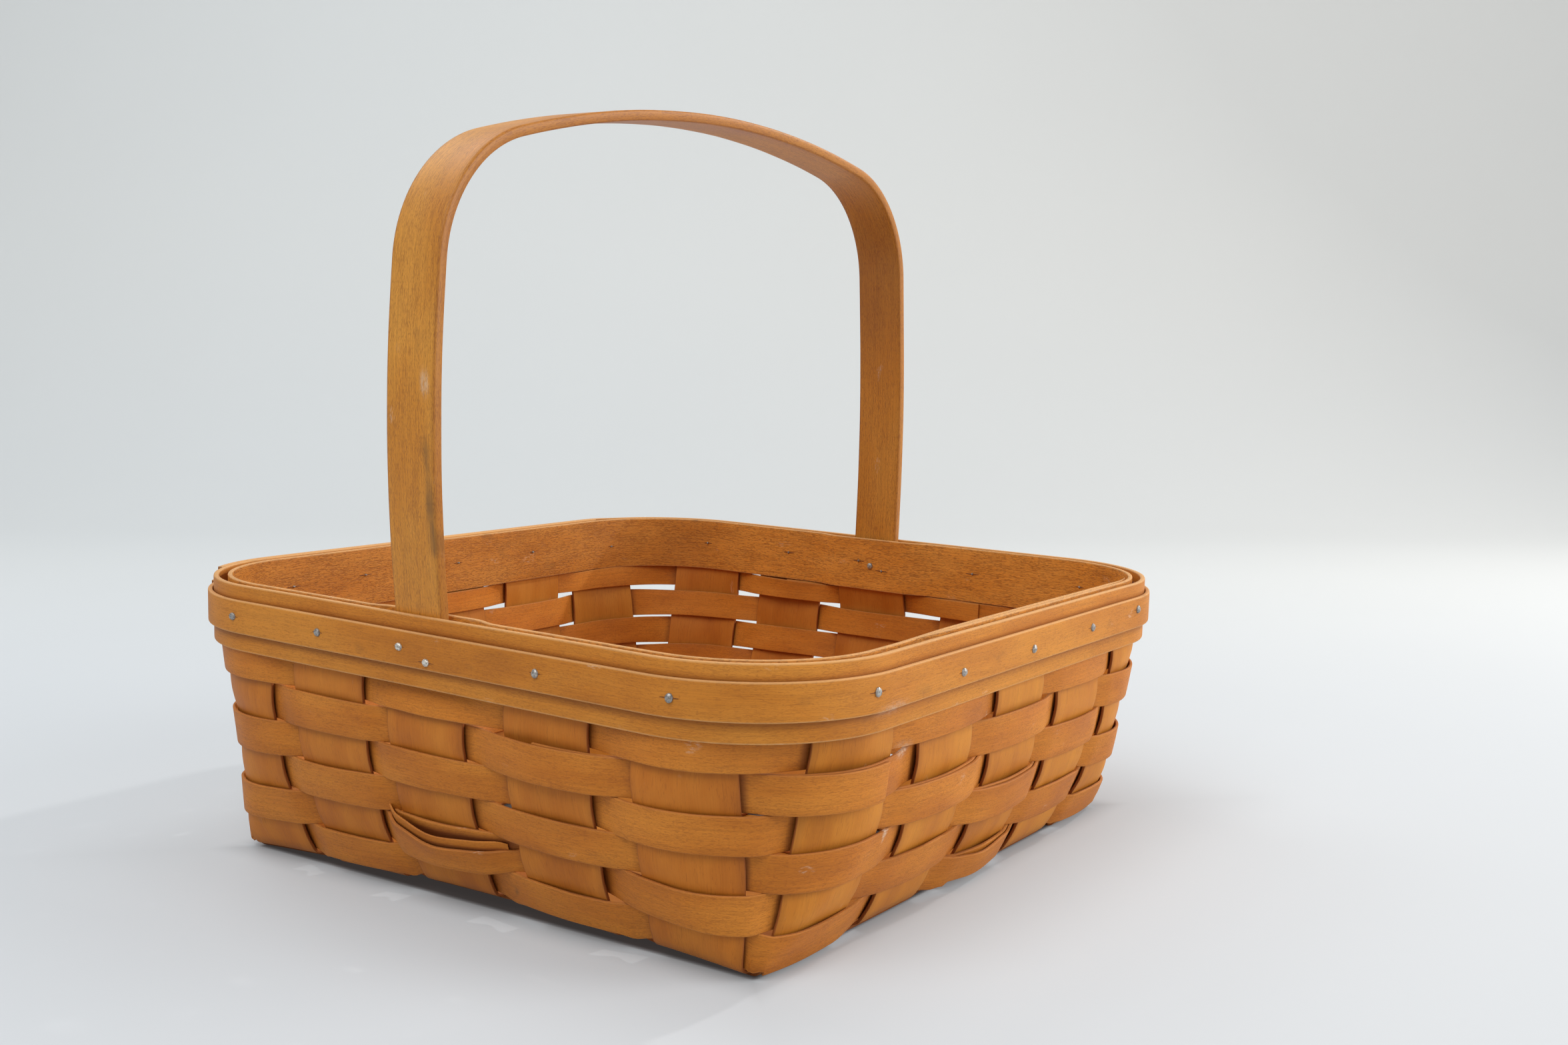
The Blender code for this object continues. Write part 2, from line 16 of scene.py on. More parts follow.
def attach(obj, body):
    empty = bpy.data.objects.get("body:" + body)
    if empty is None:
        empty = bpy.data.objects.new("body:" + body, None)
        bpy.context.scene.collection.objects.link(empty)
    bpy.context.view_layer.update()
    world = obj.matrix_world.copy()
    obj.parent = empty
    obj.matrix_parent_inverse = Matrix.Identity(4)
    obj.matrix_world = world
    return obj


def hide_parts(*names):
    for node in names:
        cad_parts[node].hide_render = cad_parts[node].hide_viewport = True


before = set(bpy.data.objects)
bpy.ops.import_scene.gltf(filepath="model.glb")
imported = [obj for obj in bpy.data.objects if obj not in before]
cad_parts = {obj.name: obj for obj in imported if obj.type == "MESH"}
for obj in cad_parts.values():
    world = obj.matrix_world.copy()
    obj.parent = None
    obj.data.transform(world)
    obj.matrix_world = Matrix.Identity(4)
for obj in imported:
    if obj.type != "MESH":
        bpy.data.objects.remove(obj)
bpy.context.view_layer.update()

# Sizes of the frame, in metres
RIM_WIDTH = 0.306
RIM_HEIGHT = 0.108
WALL_FLARE = 0.0265
BASE_CORNER_R = 0.005
CORNER_FROM = 0.004
RIM_LEAN = 0.024
BASE_DRAWN_IN = 0.032
BASE_DRAWN_HEIGHT = 0.045
BASE_SHIFT = 0.001
GAP = 0.0003
BASE_WIDTH = RIM_WIDTH - 2 * WALL_FLARE
RIM_CORNER_R = 0.1634 * RIM_WIDTH
CORNER_SWELL = 0.44 * RIM_CORNER_R
SPLINT_PITCH = 0.2095 * BASE_WIDTH
SPLINT_WIDTH = 0.698 * SPLINT_PITCH
SPLINT_T = 0.0012
SPLINT_BEND_R = 0.0035
SPLINT_BELOW_RIM = 0.003
DRIFT_ALONG_X = (-0.0005, 0.0010, 0.0045, 0.0010, -0.0015)
DRIFT_ALONG_Y = (0.0010, 0.0035, 0.0045, 0.0030, -0.0015)
BAND_HEIGHT = 0.025
OUTER_BAND_T = 0.0020
INNER_BAND_T = 0.0018
OUTER_ROOM = 0.0024
TRIM_HEIGHT = 0.0125
TRIM_T = 0.0018
TRIM_BELOW_RIM = 0.0054
INNER_LAP = (1, -0.245, 0.366)
OUTER_LAP = (3, -0.343, 0.408)
TRIM_ENDS = (3, 0.4165, 0.4115)
LAP_EASE = 0.012
WEAVER_T = 0.0012
WEAVER_BULGE = 0.0009
WEAVER_FIRST_Z = 0.0034
WEAVER_SPACE = 0.0010
WEAVER_DIP = 0.0006
TOP_WEAVER_HEIGHT = 0.0096
WEAVER_LAPS = ((6, 8, 0.0), (1, 3, 0.0), (6, 8, 0.0), (5, 7, 0.0), (3, 5, 0.7), (11, 13, 0.0))
LAP_TAIL = 0.2
HANDLE_WIDTH = 0.023
HANDLE_T = 0.0040
HANDLE_RISE = 0.1834
HANDLE_FOOT_ABOVE_BAND = 0.003
HANDLE_LEAN = 0.0034
HANDLE_BOW = 0.0032
HANDLE_BEND_R = 0.0534
HANDLE_CROWN_R = 0.447
HANDLE_CROWN_SHIFT = 0.006
HANDLE_OFFSET = 0.0038
TACK_HEAD_R = 0.0015
TACK_DRIFT = (
    ((0.0046, 0.0), (0.0014, 0.0), None, (0.0009, 0.0), (-0.0006, 0.0)),
    ((0.0009, 0.0006), (-0.0015, -0.0015), (-0.0029, -0.0012), (-0.0039, -0.0001), (-0.0085, 0.0015)),
    ((0.0003, 0.0), (0.0013, 0.0), None, (-0.0003, 0.0), (0.0004, 0.0)),
    ((-0.0066, -0.0023), (0.0023, 0.0), (0.0005, -0.0003), (0.0020, 0.0), (-0.0150, -0.0008)),
)
HANDLE_TACKS = ((0.287, 0.0004), (-0.287, -0.0034))
WALLS = 4
LANES = 5
STAKES = WALLS * LANES
ROWS = 6
BASE_LOW = SPLINT_T / 2
BASE_HIGH = BASE_LOW + SPLINT_T + GAP
BAND_BOTTOM = RIM_HEIGHT - BAND_HEIGHT
SPLINT_TOP = RIM_HEIGHT - SPLINT_BELOW_RIM
TRIM_MIDDLE_Z = RIM_HEIGHT - TRIM_BELOW_RIM - TRIM_HEIGHT / 2
TOP_WEAVER_Z = BAND_BOTTOM - GAP - TOP_WEAVER_HEIGHT
WEAVER_PITCH = (TOP_WEAVER_Z - WEAVER_FIRST_Z - WEAVER_SPACE) / (ROWS - 1)
WEAVER_HEIGHT = WEAVER_PITCH - WEAVER_SPACE
HANDLE_TOP = RIM_HEIGHT + HANDLE_RISE
HANDLE_FOOT_Z = BAND_BOTTOM + HANDLE_FOOT_ABOVE_BAND
SEAT_FLAT = SPLINT_WIDTH / 2 + 0.001
SEAT_REACH = SPLINT_PITCH - SPLINT_WIDTH / 2 - 0.0035
TRIM_MID = OUTER_ROOM + OUTER_BAND_T + GAP + TRIM_T / 2
OUTER_MID = OUTER_ROOM + OUTER_BAND_T / 2
INNER_MID = -(SPLINT_T / 2 + GAP + INNER_BAND_T / 2)
WALL_TOP_HALF = RIM_WIDTH / 2 - TRIM_MID - TRIM_T / 2
BASE_HALF = BASE_WIDTH / 2
SEAT_DEPTH = HANDLE_T + 2 * GAP + SPLINT_T / 2 - OUTER_ROOM
WEAVER_CLEAR = (SPLINT_T + WEAVER_T) / 2 + GAP

# Sizes of the looks alone
STEP = 0.0025              # between two points along a strip
BEND_STEPS = 8             # points of a splint's turn from the base to a wall
SPLINT_STEPS = 14          # points of a weaver over a splint
SPACE_STEPS = 9            # points of a weaver in the space between two splints
CORNER_STEPS = 26          # points of a weaver round a corner
LEG_STEPS = 80             # points of the handle's leg
ARC_STEPS = 120            # points of the handle's bend, and of half its crown
SPLINT_SWAY = 0.0005       # how far a splint is pulled to the other side of each weaver
CUT_WAVE = 0.00035         # unevenness of the hand-cut edges of the weavers
FOOT_LIFT_X = 0.0042       # how far the middle of the base's sides at -X and +X stands off the ground
BASE_BOW = 0.0024          # how far the middle of the base's side at -Y stands out
CLOSE_ROWS = 0.0005        # by how much the weavers' edges meet closer on the walls at -X and -Y
FIRST_ROW_DROOP = 0.0016   # how far the lowest weaver's edge hangs down between two splints
FIRST_ROW_TUCK = 0.0012    # how far it is drawn up where the weaver lies outside
TUCK_AT = {5: 0.0, 7: 0.0028}   # the same at single splints
LAP_SAG = 0.0014           # how far the lowest weaver's lap sags
SAGGED_STAKE = 7           # splint at which it does
HANDLE_FOOT_ASIDE = 0.0024 # how far the foot at -X stands towards +Y
INNER_TACK_UP = -0.0015    # height of the handle's inner tacks over the trim strip's middle
BUCKLED_ROW = 1            # row whose lap buckled
BUCKLED_STAKE = 2          # splint at which it did
# The buckled lap: drop of the outer layer's edges and its way out, by the distance from the
# middle of the splint that it crosses, in half widths of a splint
BUCKLE_TOP = ((-1.65, 0.0), (0.15, 0.0060), (1.8, 0.0055), (2.4, 0.0))
BUCKLE_BOTTOM = ((-1.5, 0.0), (-0.7, 0.0014), (1.0, 0.0016), (1.9, 0.0))
BUCKLE_OUT = ((-1.7, 0.0), (-0.9, 0.0022), (0.0, 0.0028), (1.2, 0.0020), (1.9, 0.0))
BUCKLE_LEAF_RISE = 0.0036  # by how much the split leaf behind the outer layer stands higher
BUCKLE_UNDER_RISE = 0.0011 # by how much the inner layer stands higher there
SHAVED = 0.035             # length over which the ends of the inner band are shaved thin
# Larger marks: place, reach sideways and up, and depth, which is dark above 0 and pale below
MARKS = (
    ((-0.1516, -0.0076, 0.1640), 0.0026, 0.0070, 0.35),
    ((-0.1509, -0.0078, 0.1490), 0.0028, 0.0140, 0.48),
    ((-0.1499, -0.0081, 0.1340), 0.0026, 0.0080, 0.45),
    ((-0.1522, -0.0078, 0.1870), 0.0023, 0.0065, -0.55),
    ((-0.0956, -0.1525, 0.0871), 0.0110, 0.0030, -0.40),
    ((-0.1470, -0.1480, 0.0905), 0.0120, 0.0030, -0.35),
    ((-0.0820, -0.1434, 0.0410), 0.0026, 0.0026, -0.90),
    ((-0.0785, -0.1477, 0.0685), 0.0070, 0.0030, -0.55),
    # Painted shade: the dark notch low on the wall at -X, where a splint's edge bends under
    ((-0.1324, -0.0245, 0.0090), 0.0026, 0.0065, 1.00),
)

# Camera, as solved from the photo, and the sweep behind the basket
CAMERA_PLACE = (-0.53646, -0.41866, 0.19811)
CAMERA_RIGHT = (0.57141, -0.82063, 0.00597)
CAMERA_UP = (0.08092, 0.06357, 0.99469)
CAMERA_BACK = (-0.81666, -0.5679, 0.10273)
SWEEP_HALF_WIDTH = 3.0
SWEEP_FLAT = 1.1           # length of the floor behind the origin
SWEEP_R = 0.7
SWEEP_STEPS = 16


def clamped(x):
    return min(max(x, 0.0), 1.0)


def smooth(x):
    """Ease from 0 to 1."""
    x = clamped(x)
    return x * x * (3 - 2 * x)


def drifting(place, seed, size):
    """Slow unevenness from -1 to 1, along a length in metres."""
    return noise.noise(Vector((place / size, seed * 7.31, 0.5)))


def traced(at, points):
    """Smooth line through (place, value) points, and their end values beyond them."""
    for (a, low), (b, high) in zip(points, points[1:]):
        if at < b:
            return low + (high - low) * smooth((at - a) / (b - a))
    return points[-1][1]


def marked(spot):
    """Depth of the larger marks at a point."""
    depth = 0.0
    for place, wide, high, strength in MARKS:
        gap = spot - Vector(place)
        depth += strength * max(1 - (gap.xy.length / wide) ** 2 - (gap.z / high) ** 2, 0.0)
    return depth


def lane(index, drift):
    """Place of a splint across the base."""
    return (index - (LANES - 1) / 2) * SPLINT_PITCH + drift[index]


def stake_place(stake):
    """Wall and distance from its middle, in the direction that the weavers run."""
    wall, k = divmod(stake % STAKES, LANES)
    drift = DRIFT_ALONG_X if wall in (0, 2) else DRIFT_ALONG_Y
    if wall in (1, 2):
        return wall, lane(k, drift)
    return wall, -lane(LANES - 1 - k, drift)


def half_width(z):
    t = clamped(z / BAND_BOTTOM)
    return BASE_HALF + (WALL_TOP_HALF - BASE_HALF) * (2 * t - t * t)


def wall_slope(z):
    step = 0.0005
    return atan2(half_width(z + step) - half_width(z - step), 2 * step)


def corner_radius(z):
    t = clamped((z - CORNER_FROM) / (BAND_BOTTOM - CORNER_FROM))
    return BASE_CORNER_R + (RIM_CORNER_R - BASE_CORNER_R) * t + CORNER_SWELL * sin(pi * t)


def foot_lift(point):
    """Arch of the base's edges: its corners and its middle stand on the ground."""
    x, y = abs(point.x) / BASE_HALF, abs(point.y) / BASE_HALF
    arch = FOOT_LIFT_X * max(1 - y * y, 0.0) * smooth((x - 0.55) / 0.45)
    return arch * max(1 - point.z / BAND_BOTTOM, 0.0)


def leaned(point):
    """Point moved to where the narrower base, its arch and the leaning rim put it."""
    low = clamped((CORNER_FROM + BASE_DRAWN_HEIGHT - point.z) / BASE_DRAWN_HEIGHT) ** 2
    share = clamped((point.z - CORNER_FROM) / (BAND_BOTTOM - CORNER_FROM))
    y = point.y * (1 - BASE_DRAWN_IN * low) + BASE_SHIFT * low
    drawn = Vector((point.x, y, point.z + foot_lift(point)))
    drawn.y -= BASE_BOW * low * max(1 - (point.x / BASE_HALF) ** 4, 0.0) * smooth(-point.y / BASE_HALF)
    return Matrix.Rotation(RIM_LEAN * share, 3, 'X') @ drawn


def quarter(z):
    r = corner_radius(z)
    return 2 * (half_width(z) - r) + pi / 2 * r


def handle_seat(z, wall, along):
    """Dent that the handle's leg presses into the wall below the rim's top."""
    if wall not in (0, 2):
        return 0.0
    middle = stake_place(wall * LANES + LANES // 2)[1]
    side = 1 - smooth((abs(along - middle) - SEAT_FLAT) / (SEAT_REACH - SEAT_FLAT))
    height = clamped((z - TOP_WEAVER_Z) / (BAND_BOTTOM - TOP_WEAVER_Z))
    return SEAT_DEPTH * side * height


def wall_point(wall, along, z, outward, seated=True):
    """Point on the walls, by its distance along a wall and out from the splints' middle."""
    h, r = half_width(z), corner_radius(z)
    straight = h - r
    over = abs(along) - straight
    if over <= 0:
        x, y, turn = along, -h, 0.0
    else:
        turn = copysign(over / r, along)
        x = copysign(straight, along) + r * sin(turn)
        y = -straight - r * cos(turn)
    slope = wall_slope(z)
    out = outward - (handle_seat(z, wall, along) if seated else 0.0)
    normal = Vector((sin(turn) * cos(slope), -cos(turn) * cos(slope), -sin(slope)))
    point = Vector((x, y, z)) + normal * out
    return Matrix.Rotation((wall - 1) * pi / 2, 3, 'Z') @ point


def stake_length(stake, z):
    """Length round the basket at which a splint's middle stands, at one height."""
    turns, rest = divmod(stake, STAKES)
    wall, along = stake_place(rest)
    return (turns * WALLS + wall) * quarter(z) + along


def to_wall(length, z):
    wall = floor(length / quarter(z) + 0.5)
    return wall % WALLS, length - wall * quarter(z)


# Node trees

SOCKET_KINDS = {float: 'Float', int: 'Int', tuple: 'Color'}


def link_to(socket, value):
    """Link a node's input to another node's output, or set its value."""
    if isinstance(value, bpy.types.NodeSocket):
        socket.id_data.links.new(value, socket)
    else:
        socket.default_value = value


def add(tree, kind, *values, **named):
    """A node of one kind. Its inputs come in their own order, or by name with _ for a space. What
    is named in small letters is a setting of the node."""
    node = tree.nodes.new(kind)
    for key, value in named.items():
        if key.islower():
            setattr(node, key, value)
    for number, value in enumerate(values):
        link_to(node.inputs[number], value)
    for key, value in named.items():
        if not key.islower():
            link_to(node.inputs[key.replace('_', ' ')], value)
    return node


def tree_of(values):
    """Node tree of the first socket among some values."""
    return next(value.id_data for value in values if isinstance(value, bpy.types.NodeSocket))


def maths(operation, *values, clamp=False):
    return add(tree_of(values), 'ShaderNodeMath', *values, operation=operation, use_clamp=clamp).outputs[0]


def times(a, b, clamp=False):
    return maths('MULTIPLY', a, b, clamp=clamp)


def vectors(operation, *values, output=0):
    return add(tree_of(values), 'ShaderNodeVectorMath', *values, operation=operation).outputs[output]


def scaled(vector, factor):
    return add(vector.id_data, 'ShaderNodeVectorMath', vector, operation='SCALE', Scale=factor).outputs[0]


def stretched(vector, along, across):
    """The wood's coordinates times one factor along it and another across and through it."""
    return vectors('MULTIPLY', vector, (along, across, across))


def combined(x, y, z):
    return add(tree_of((x, y, z)), 'ShaderNodeCombineXYZ', x, y, z).outputs[0]


def parts_of(vector):
    return add(vector.id_data, 'ShaderNodeSeparateXYZ', vector).outputs


def noise_at(place, scale, detail=2.0, rough=0.5, out='Fac'):
    node = add(place.id_data, 'ShaderNodeTexNoise', Vector=place, Scale=scale, Detail=detail, Roughness=rough)
    return node.outputs[out]


def between(value, low, high, a=0.0, b=1.0):
    """Smooth step of a value from a at low to b at high."""
    node = add(value.id_data, 'ShaderNodeMapRange', value, low, high, a, b, interpolation_type='SMOOTHSTEP')
    return node.outputs[0]


def mixed(amount, a, b, blend='MIX'):
    """Mix of two colours. A colour mix has its own sockets, after those for numbers and vectors."""
    node = add(tree_of((amount, a, b)), 'ShaderNodeMix', amount, data_type='RGBA', blend_type=blend)
    link_to(node.inputs[6], a)
    link_to(node.inputs[7], b)
    return node.outputs[2]


def attribute(tree, name, out='Fac'):
    return add(tree, 'ShaderNodeAttribute', attribute_name=name).outputs[out]


def new_group(name, kind, outputs, **inputs):
    """A node group, and the sockets given to it and asked of it. An input is given as its
    default, or as its kind where it has none, by its name with _ for a space."""
    tree = bpy.data.node_groups.new(name, kind + 'NodeTree')
    for key, value in inputs.items():
        socket = SOCKET_KINDS.get(type(value), value)
        item = tree.interface.new_socket(
            key.replace('_', ' '), in_out='INPUT', socket_type='NodeSocket' + socket)
        if socket != value:
            item.default_value = value
    for label, socket in outputs.items():
        tree.interface.new_socket(label, in_out='OUTPUT', socket_type='NodeSocket' + socket)
    return tree, tree.nodes.new('NodeGroupInput').outputs, tree.nodes.new('NodeGroupOutput').inputs


def new_material(name):
    """A material, its tree and its shader's inputs."""
    mat = bpy.data.materials.new(name)
    mat.use_nodes = True
    return mat, mat.node_tree, mat.node_tree.nodes['Principled BSDF'].inputs


def dress(shader, colour, rough, height, strength, distance):
    """Give a shader its colour, roughness and fine relief."""
    bump = add(colour.id_data, 'ShaderNodeBump', Height=height, Strength=strength, Distance=distance)
    for key, value in (('Base Color', colour), ('Roughness', rough), ('Normal', bump.outputs[0])):
        link_to(shader[key], value)


# Shared effects of the wood

def figure_group():
    """Figure of split maple, read along, across and through a strip."""
    tree, given, result = new_group(
        'Maple figure', 'Shader', dict.fromkeys(('Flecks', 'Fibres', 'Blotches', 'Height'), 'Float'),
        Wood='Vector', Fleck_Length=0.0035, Fleck_Width=0.0004, Fleck_Share=0.5, Blotch_Size=0.05)
    wood = given['Wood']
    wander = noise_at(stretched(wood, 40.0, 90.0), 1.0, 1.0, 0.5, 'Color')
    bent = vectors('ADD', wood, vectors('MULTIPLY', wander, (0.0, 0.0022, 0.0)))
    lengths = [given[key] for key in ('Fleck Length', 'Fleck Width', 'Blotch Size')]
    along, over, size = [maths('DIVIDE', 1.0, length) for length in lengths]
    crowd = noise_at(stretched(wood, 60.0, 160.0), 1.0, 2.0)
    share = maths('MULTIPLY_ADD', given['Fleck Share'], -0.2, 0.74)
    limit = maths('MULTIPLY_ADD', maths('SUBTRACT', crowd, 0.5), -0.22, share)
    soft = maths('ADD', limit, 0.10)
    place = vectors('MULTIPLY', bent, combined(along, over, over))
    large, small = [between(noise_at(place, scale, 1.0, 0.4), limit, soft) for scale in (1.0, 2.3)]
    flecks = maths('MAXIMUM', times(large, 0.8), small)
    fibres = noise_at(stretched(bent, 30.0, 2400.0), 1.0, 4.0, 0.6)
    blotches = noise_at(scaled(stretched(wood, 1.0, 2.6), size), 1.0, 4.0, 0.55)
    height = maths('MULTIPLY_ADD', flecks, -0.5, times(fibres, 0.6))
    for socket, value in zip(result, (flecks, fibres, blotches, height)):
        link_to(socket, value)
    return tree


def stain_and_shade_group():
    """Honey stain: deeper where it pooled and where shade is painted in, and paler on cut and rubbed edges.
    """
    tree, given, result = new_group(
        'Honey stain and painted shade', 'Shader', {'Color': 'Color', 'Roughness': 'Float'}, Flecks=0.0, Fibres=0.5,
        Blotches=0.5, Tucked=0.0, Cut=0.0, Honey=(0.5, 0.2, 0.04, 1), Light_Honey=(0.6, 0.29, 0.09, 1),
        Gathered=(0.16, 0.035, 0.008, 1), Pale=(0.7, 0.4, 0.17, 1), Fleck_Depth=0.5, Cut_Paleness=0.6,
        Fibre_Depth=0.5, Cut_Flecks=0.0)
    blotches, cut, deep_stain_and_shade = given['Blotches'], given['Cut'], given['Gathered']
    colour = mixed(between(blotches, 0.35, 0.70), given['Honey'], given['Light Honey'])
    fibre = maths('MULTIPLY_ADD', between(given['Fibres'], 0.3, 0.7, -0.10, 0.08), given['Fibre Depth'], 1.0)
    colour = mixed(1.0, colour, combined(fibre, fibre, fibre), 'MULTIPLY')
    deep = maths('MULTIPLY_ADD', cut, given['Cut Flecks'], given['Fleck Depth'])
    # Darker blotches and flecks are the wood's own stain; the third mix paints in shade, with some stain
    for amount in (between(blotches, 0.46, 0.26, 0.0, 0.19), times(given['Flecks'], deep, clamp=True),
                   times(given['Tucked'], 0.85)):
        colour = mixed(amount, colour, deep_stain_and_shade)
    link_to(result['Color'], mixed(times(cut, given['Cut Paleness']), colour, given['Pale']))
    rough = between(blotches, 0.3, 0.75, 0.52, 0.64)
    link_to(result['Roughness'], maths('ADD', rough, times(cut, 0.15), clamp=True))
    return tree


def wear_group():
    """Small pale scuffs and dull dark marks from handling, few and far between, and the larger marks, one of
    which is painted shade.
    """
    tree, given, result = new_group(
        'Handling marks', 'Shader', {'Color': 'Color'}, Wood='Vector', Color=(0.5, 0.2, 0.04, 1),
        Scuffs=0.3, Grime=0.3, Marks=0.0)
    wood, marks = given['Wood'], given['Marks']
    where = noise_at(stretched(wood, 70.0, 130.0), 1.0, 1.0)
    grain = noise_at(stretched(wood, 450.0, 1300.0), 1.0, 3.0, 0.7)
    scuff = times(times(between(where, 0.70, 0.78), between(grain, 0.45, 0.7)), given['Scuffs'])
    rubbed = times(between(marks, 0.0, -1.0), between(grain, 0.35, 0.6, 0.1, 1.0))
    colour = mixed(maths('MAXIMUM', scuff, rubbed), given['Color'], (0.75, 0.62, 0.48, 1))
    far = noise_at(stretched(wood, 55.0, 100.0), 1.0, 2.0)
    grime = times(between(far, 0.64, 0.80), given['Grime'])
    dark_marks = between(maths('MULTIPLY_ADD', maths('SUBTRACT', far, 0.5), 0.6, marks), 0.0, 0.7)
    grime = maths('MAXIMUM', grime, times(dark_marks, between(marks, 0.0, 0.05)))
    link_to(result['Color'], mixed(grime, colour, (0.13, 0.065, 0.02, 1)))
    return tree


def wood_material(name, inside, honey, light_honey, relief=0.35, wax=0.03, **look):
    """Stained wood: the shared figure, stain and marks, with this piece's own look."""
    mat, tree, shader = new_material(name)
    wood = attribute(tree, 'wood', 'Vector')
    figure, stain, marks = [add(tree, 'ShaderNodeGroup', node_tree=GROUPS[key])
                            for key in ('figure', 'stain', 'wear')]
    # Painted shade and stain: the inner face takes its own value or the finish's inside value, the outer face
    # its own
    facing_in = between(parts_of(wood)[2], 0.0001, -0.0001)
    inner = maths('MAXIMUM', attribute(tree, 'stain_and_painted_shade_inside'), inside)
    outer = times(attribute(tree, 'stain_and_painted_shade'), maths('SUBTRACT', 1.0, facing_in))
    links = {
        figure: {'Wood': wood},
        stain: {'Honey': (*honey, 1), 'Light Honey': (*light_honey, 1), 'Cut': attribute(tree, 'cut'),
                'Tucked': maths('MULTIPLY_ADD', inner, facing_in, outer),
                **{key: figure.outputs[key] for key in ('Flecks', 'Fibres', 'Blotches')}},
        marks: {'Wood': wood, 'Color': stain.outputs['Color'], 'Marks': attribute(tree, 'marks')},
    }
    for node, values in links.items():
        for key, value in (look | values).items():
            label = key.replace('_', ' ')
            if label in node.inputs:
                link_to(node.inputs[label], value)
    rough = stain.outputs['Roughness']
    dress(shader, marks.outputs['Color'], rough, figure.outputs['Height'], relief, 0.0002)
    shader['Specular IOR Level'].default_value = 0.22
    shader['Coat Weight'].default_value = wax
    shader['Coat Roughness'].default_value = 0.4
    return mat


# Geometry Nodes

def named_attribute(tree, name, kind='FLOAT_VECTOR'):
    return add(tree, 'GeometryNodeInputNamedAttribute', data_type=kind, Name=name).outputs[0]


def pushed(mesh, normal, distance):
    """Mesh with each point moved along its normal."""
    offset = scaled(normal, distance)
    return add(mesh.id_data, 'GeometryNodeSetPosition', Geometry=mesh, Offset=offset).outputs[0]


def finished(mesh, finish, result):
    """End of a tree: smooth shading, real meshes and the finish."""
    for kind in ('GeometryNodeSetShadeSmooth', 'GeometryNodeRealizeInstances'):
        mesh = add(mesh.id_data, kind, mesh).outputs[0]
    link_to(result, add(mesh.id_data, 'GeometryNodeSetMaterial', Geometry=mesh, Material=finish).outputs[0])


def strip_tree():
    """Strip of wood from its middle surface: thickness, eased edges and a faint ripple."""
    tree, given, result = new_group(
        'Strip of split wood', 'Geometry', {'Strip': 'Geometry'}, Middle='Geometry', Thickness=0.0012,
        Ripple=0.0001, Ripple_Length=0.02, Seed=1, Finish='Material')
    wood = named_attribute(tree, 'wood')
    ease = named_attribute(tree, 'ease', 'FLOAT')
    normal = tree.nodes.new('GeometryNodeInputNormal').outputs[0]
    place = scaled(vectors('MULTIPLY', wood, (1.0, 1.8, 1.0)), maths('DIVIDE', 1.0, given['Ripple Length']))
    swell = noise_at(vectors('ADD', place, combined(0.0, 0.0, times(given['Seed'], 3.7))), 1.0, 2.0)
    middle = pushed(given['Middle'], normal, times(maths('SUBTRACT', swell, 0.5), given['Ripple']))
    half = times(times(given['Thickness'], 0.5), ease)
    joined = tree.nodes.new('GeometryNodeJoinGeometry')
    sides = []
    for sign in (1.0, -1.0):
        depth = times(half, sign)
        shifted = vectors('ADD', wood, combined(0.0, 0.0, depth))
        noted = add(tree, 'GeometryNodeStoreNamedAttribute', data_type='FLOAT_VECTOR', domain='POINT',
                    Geometry=middle, Name='wood', Value=shifted)
        sides.append(pushed(noted.outputs[0], normal, depth))
    sides[1] = add(tree, 'GeometryNodeFlipFaces', sides[1]).outputs[0]
    for side in sides:
        link_to(joined.inputs[0], side)
    merged = add(tree, 'GeometryNodeMergeByDistance', Geometry=joined.outputs[0], Distance=0.000001)
    finished(merged.outputs[0], given['Finish'], result[0])
    return tree


def tack_tree():
    """Low hammered head, or a small point, on every given place, facing out."""
    tree, given, result = new_group(
        'Tacks', 'Geometry', {'Tacks': 'Geometry'}, Places='Geometry', Head_Radius=0.0015, Head_Height=0.0008,
        Dents=0.0003, Seed=3, Finish='Material')
    ball = add(tree, 'GeometryNodeMeshUVSphere', Segments=18, Rings=10, Radius=1.0).outputs[0]
    size = combined(given['Head Radius'], given['Head Radius'], given['Head Height'])
    head = add(tree, 'GeometryNodeTransform', Geometry=ball, Scale=size).outputs[0]
    facing = named_attribute(tree, 'facing')
    turn = add(tree, 'FunctionNodeAlignRotationToVector', axis='Z', Vector=facing).outputs[0]
    heads = add(tree, 'GeometryNodeInstanceOnPoints', Points=given['Places'], Instance=head,
                Rotation=turn, Scale=named_attribute(tree, 'amount')).outputs[0]
    real = add(tree, 'GeometryNodeRealizeInstances', heads).outputs[0]
    spot = tree.nodes.new('GeometryNodeInputPosition').outputs[0]
    dents = noise_at(vectors('ADD', scaled(spot, 900.0), combined(0.0, 0.0, given['Seed'])), 1.0, 1.0)
    dents = times(maths('SUBTRACT', dents, 0.5), given['Dents'])
    normal = tree.nodes.new('GeometryNodeInputNormal').outputs[0]
    finished(pushed(real, normal, dents), given['Finish'], result[0])
    return tree


def placed(name, data):
    """A new object in the scene."""
    obj = bpy.data.objects.new(name, data)
    bpy.context.scene.collection.objects.link(obj)
    return obj


def grown(name, mesh, tree, values, nodes):
    """Run a Geometry Nodes tree on a mesh and keep the result as a plain piece."""
    base = placed(name + '_base', mesh)
    grow = base.modifiers.new('Grow', 'NODES')
    grow.node_group = tree
    for item in tree.interface.items_tree:
        if item.in_out == 'INPUT' and item.name in values:
            grow[item.identifier] = values[item.name]
    bpy.context.view_layer.update()
    graph = bpy.context.evaluated_depsgraph_get()
    plain = bpy.data.meshes.new_from_object(
        base.evaluated_get(graph), preserve_all_data_layers=True, depsgraph=graph)
    plain.name = name
    bpy.data.objects.remove(base)
    piece = placed(name, plain)
    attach(piece, 'root')
    if nodes:
        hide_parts(*nodes)


# Middle surfaces

def edge_steps(thickness):
    """Points next to a cut edge: distance in from it, share of the thickness, share of cut wood."""
    return [(0.0, 0.0, 1.0), (0.015 * thickness, 0.62, 1.0), (0.06 * thickness, 0.84, 1.0),
            (0.17 * thickness, 0.95, 0.55), (0.36 * thickness, 1.0, 0.0)]


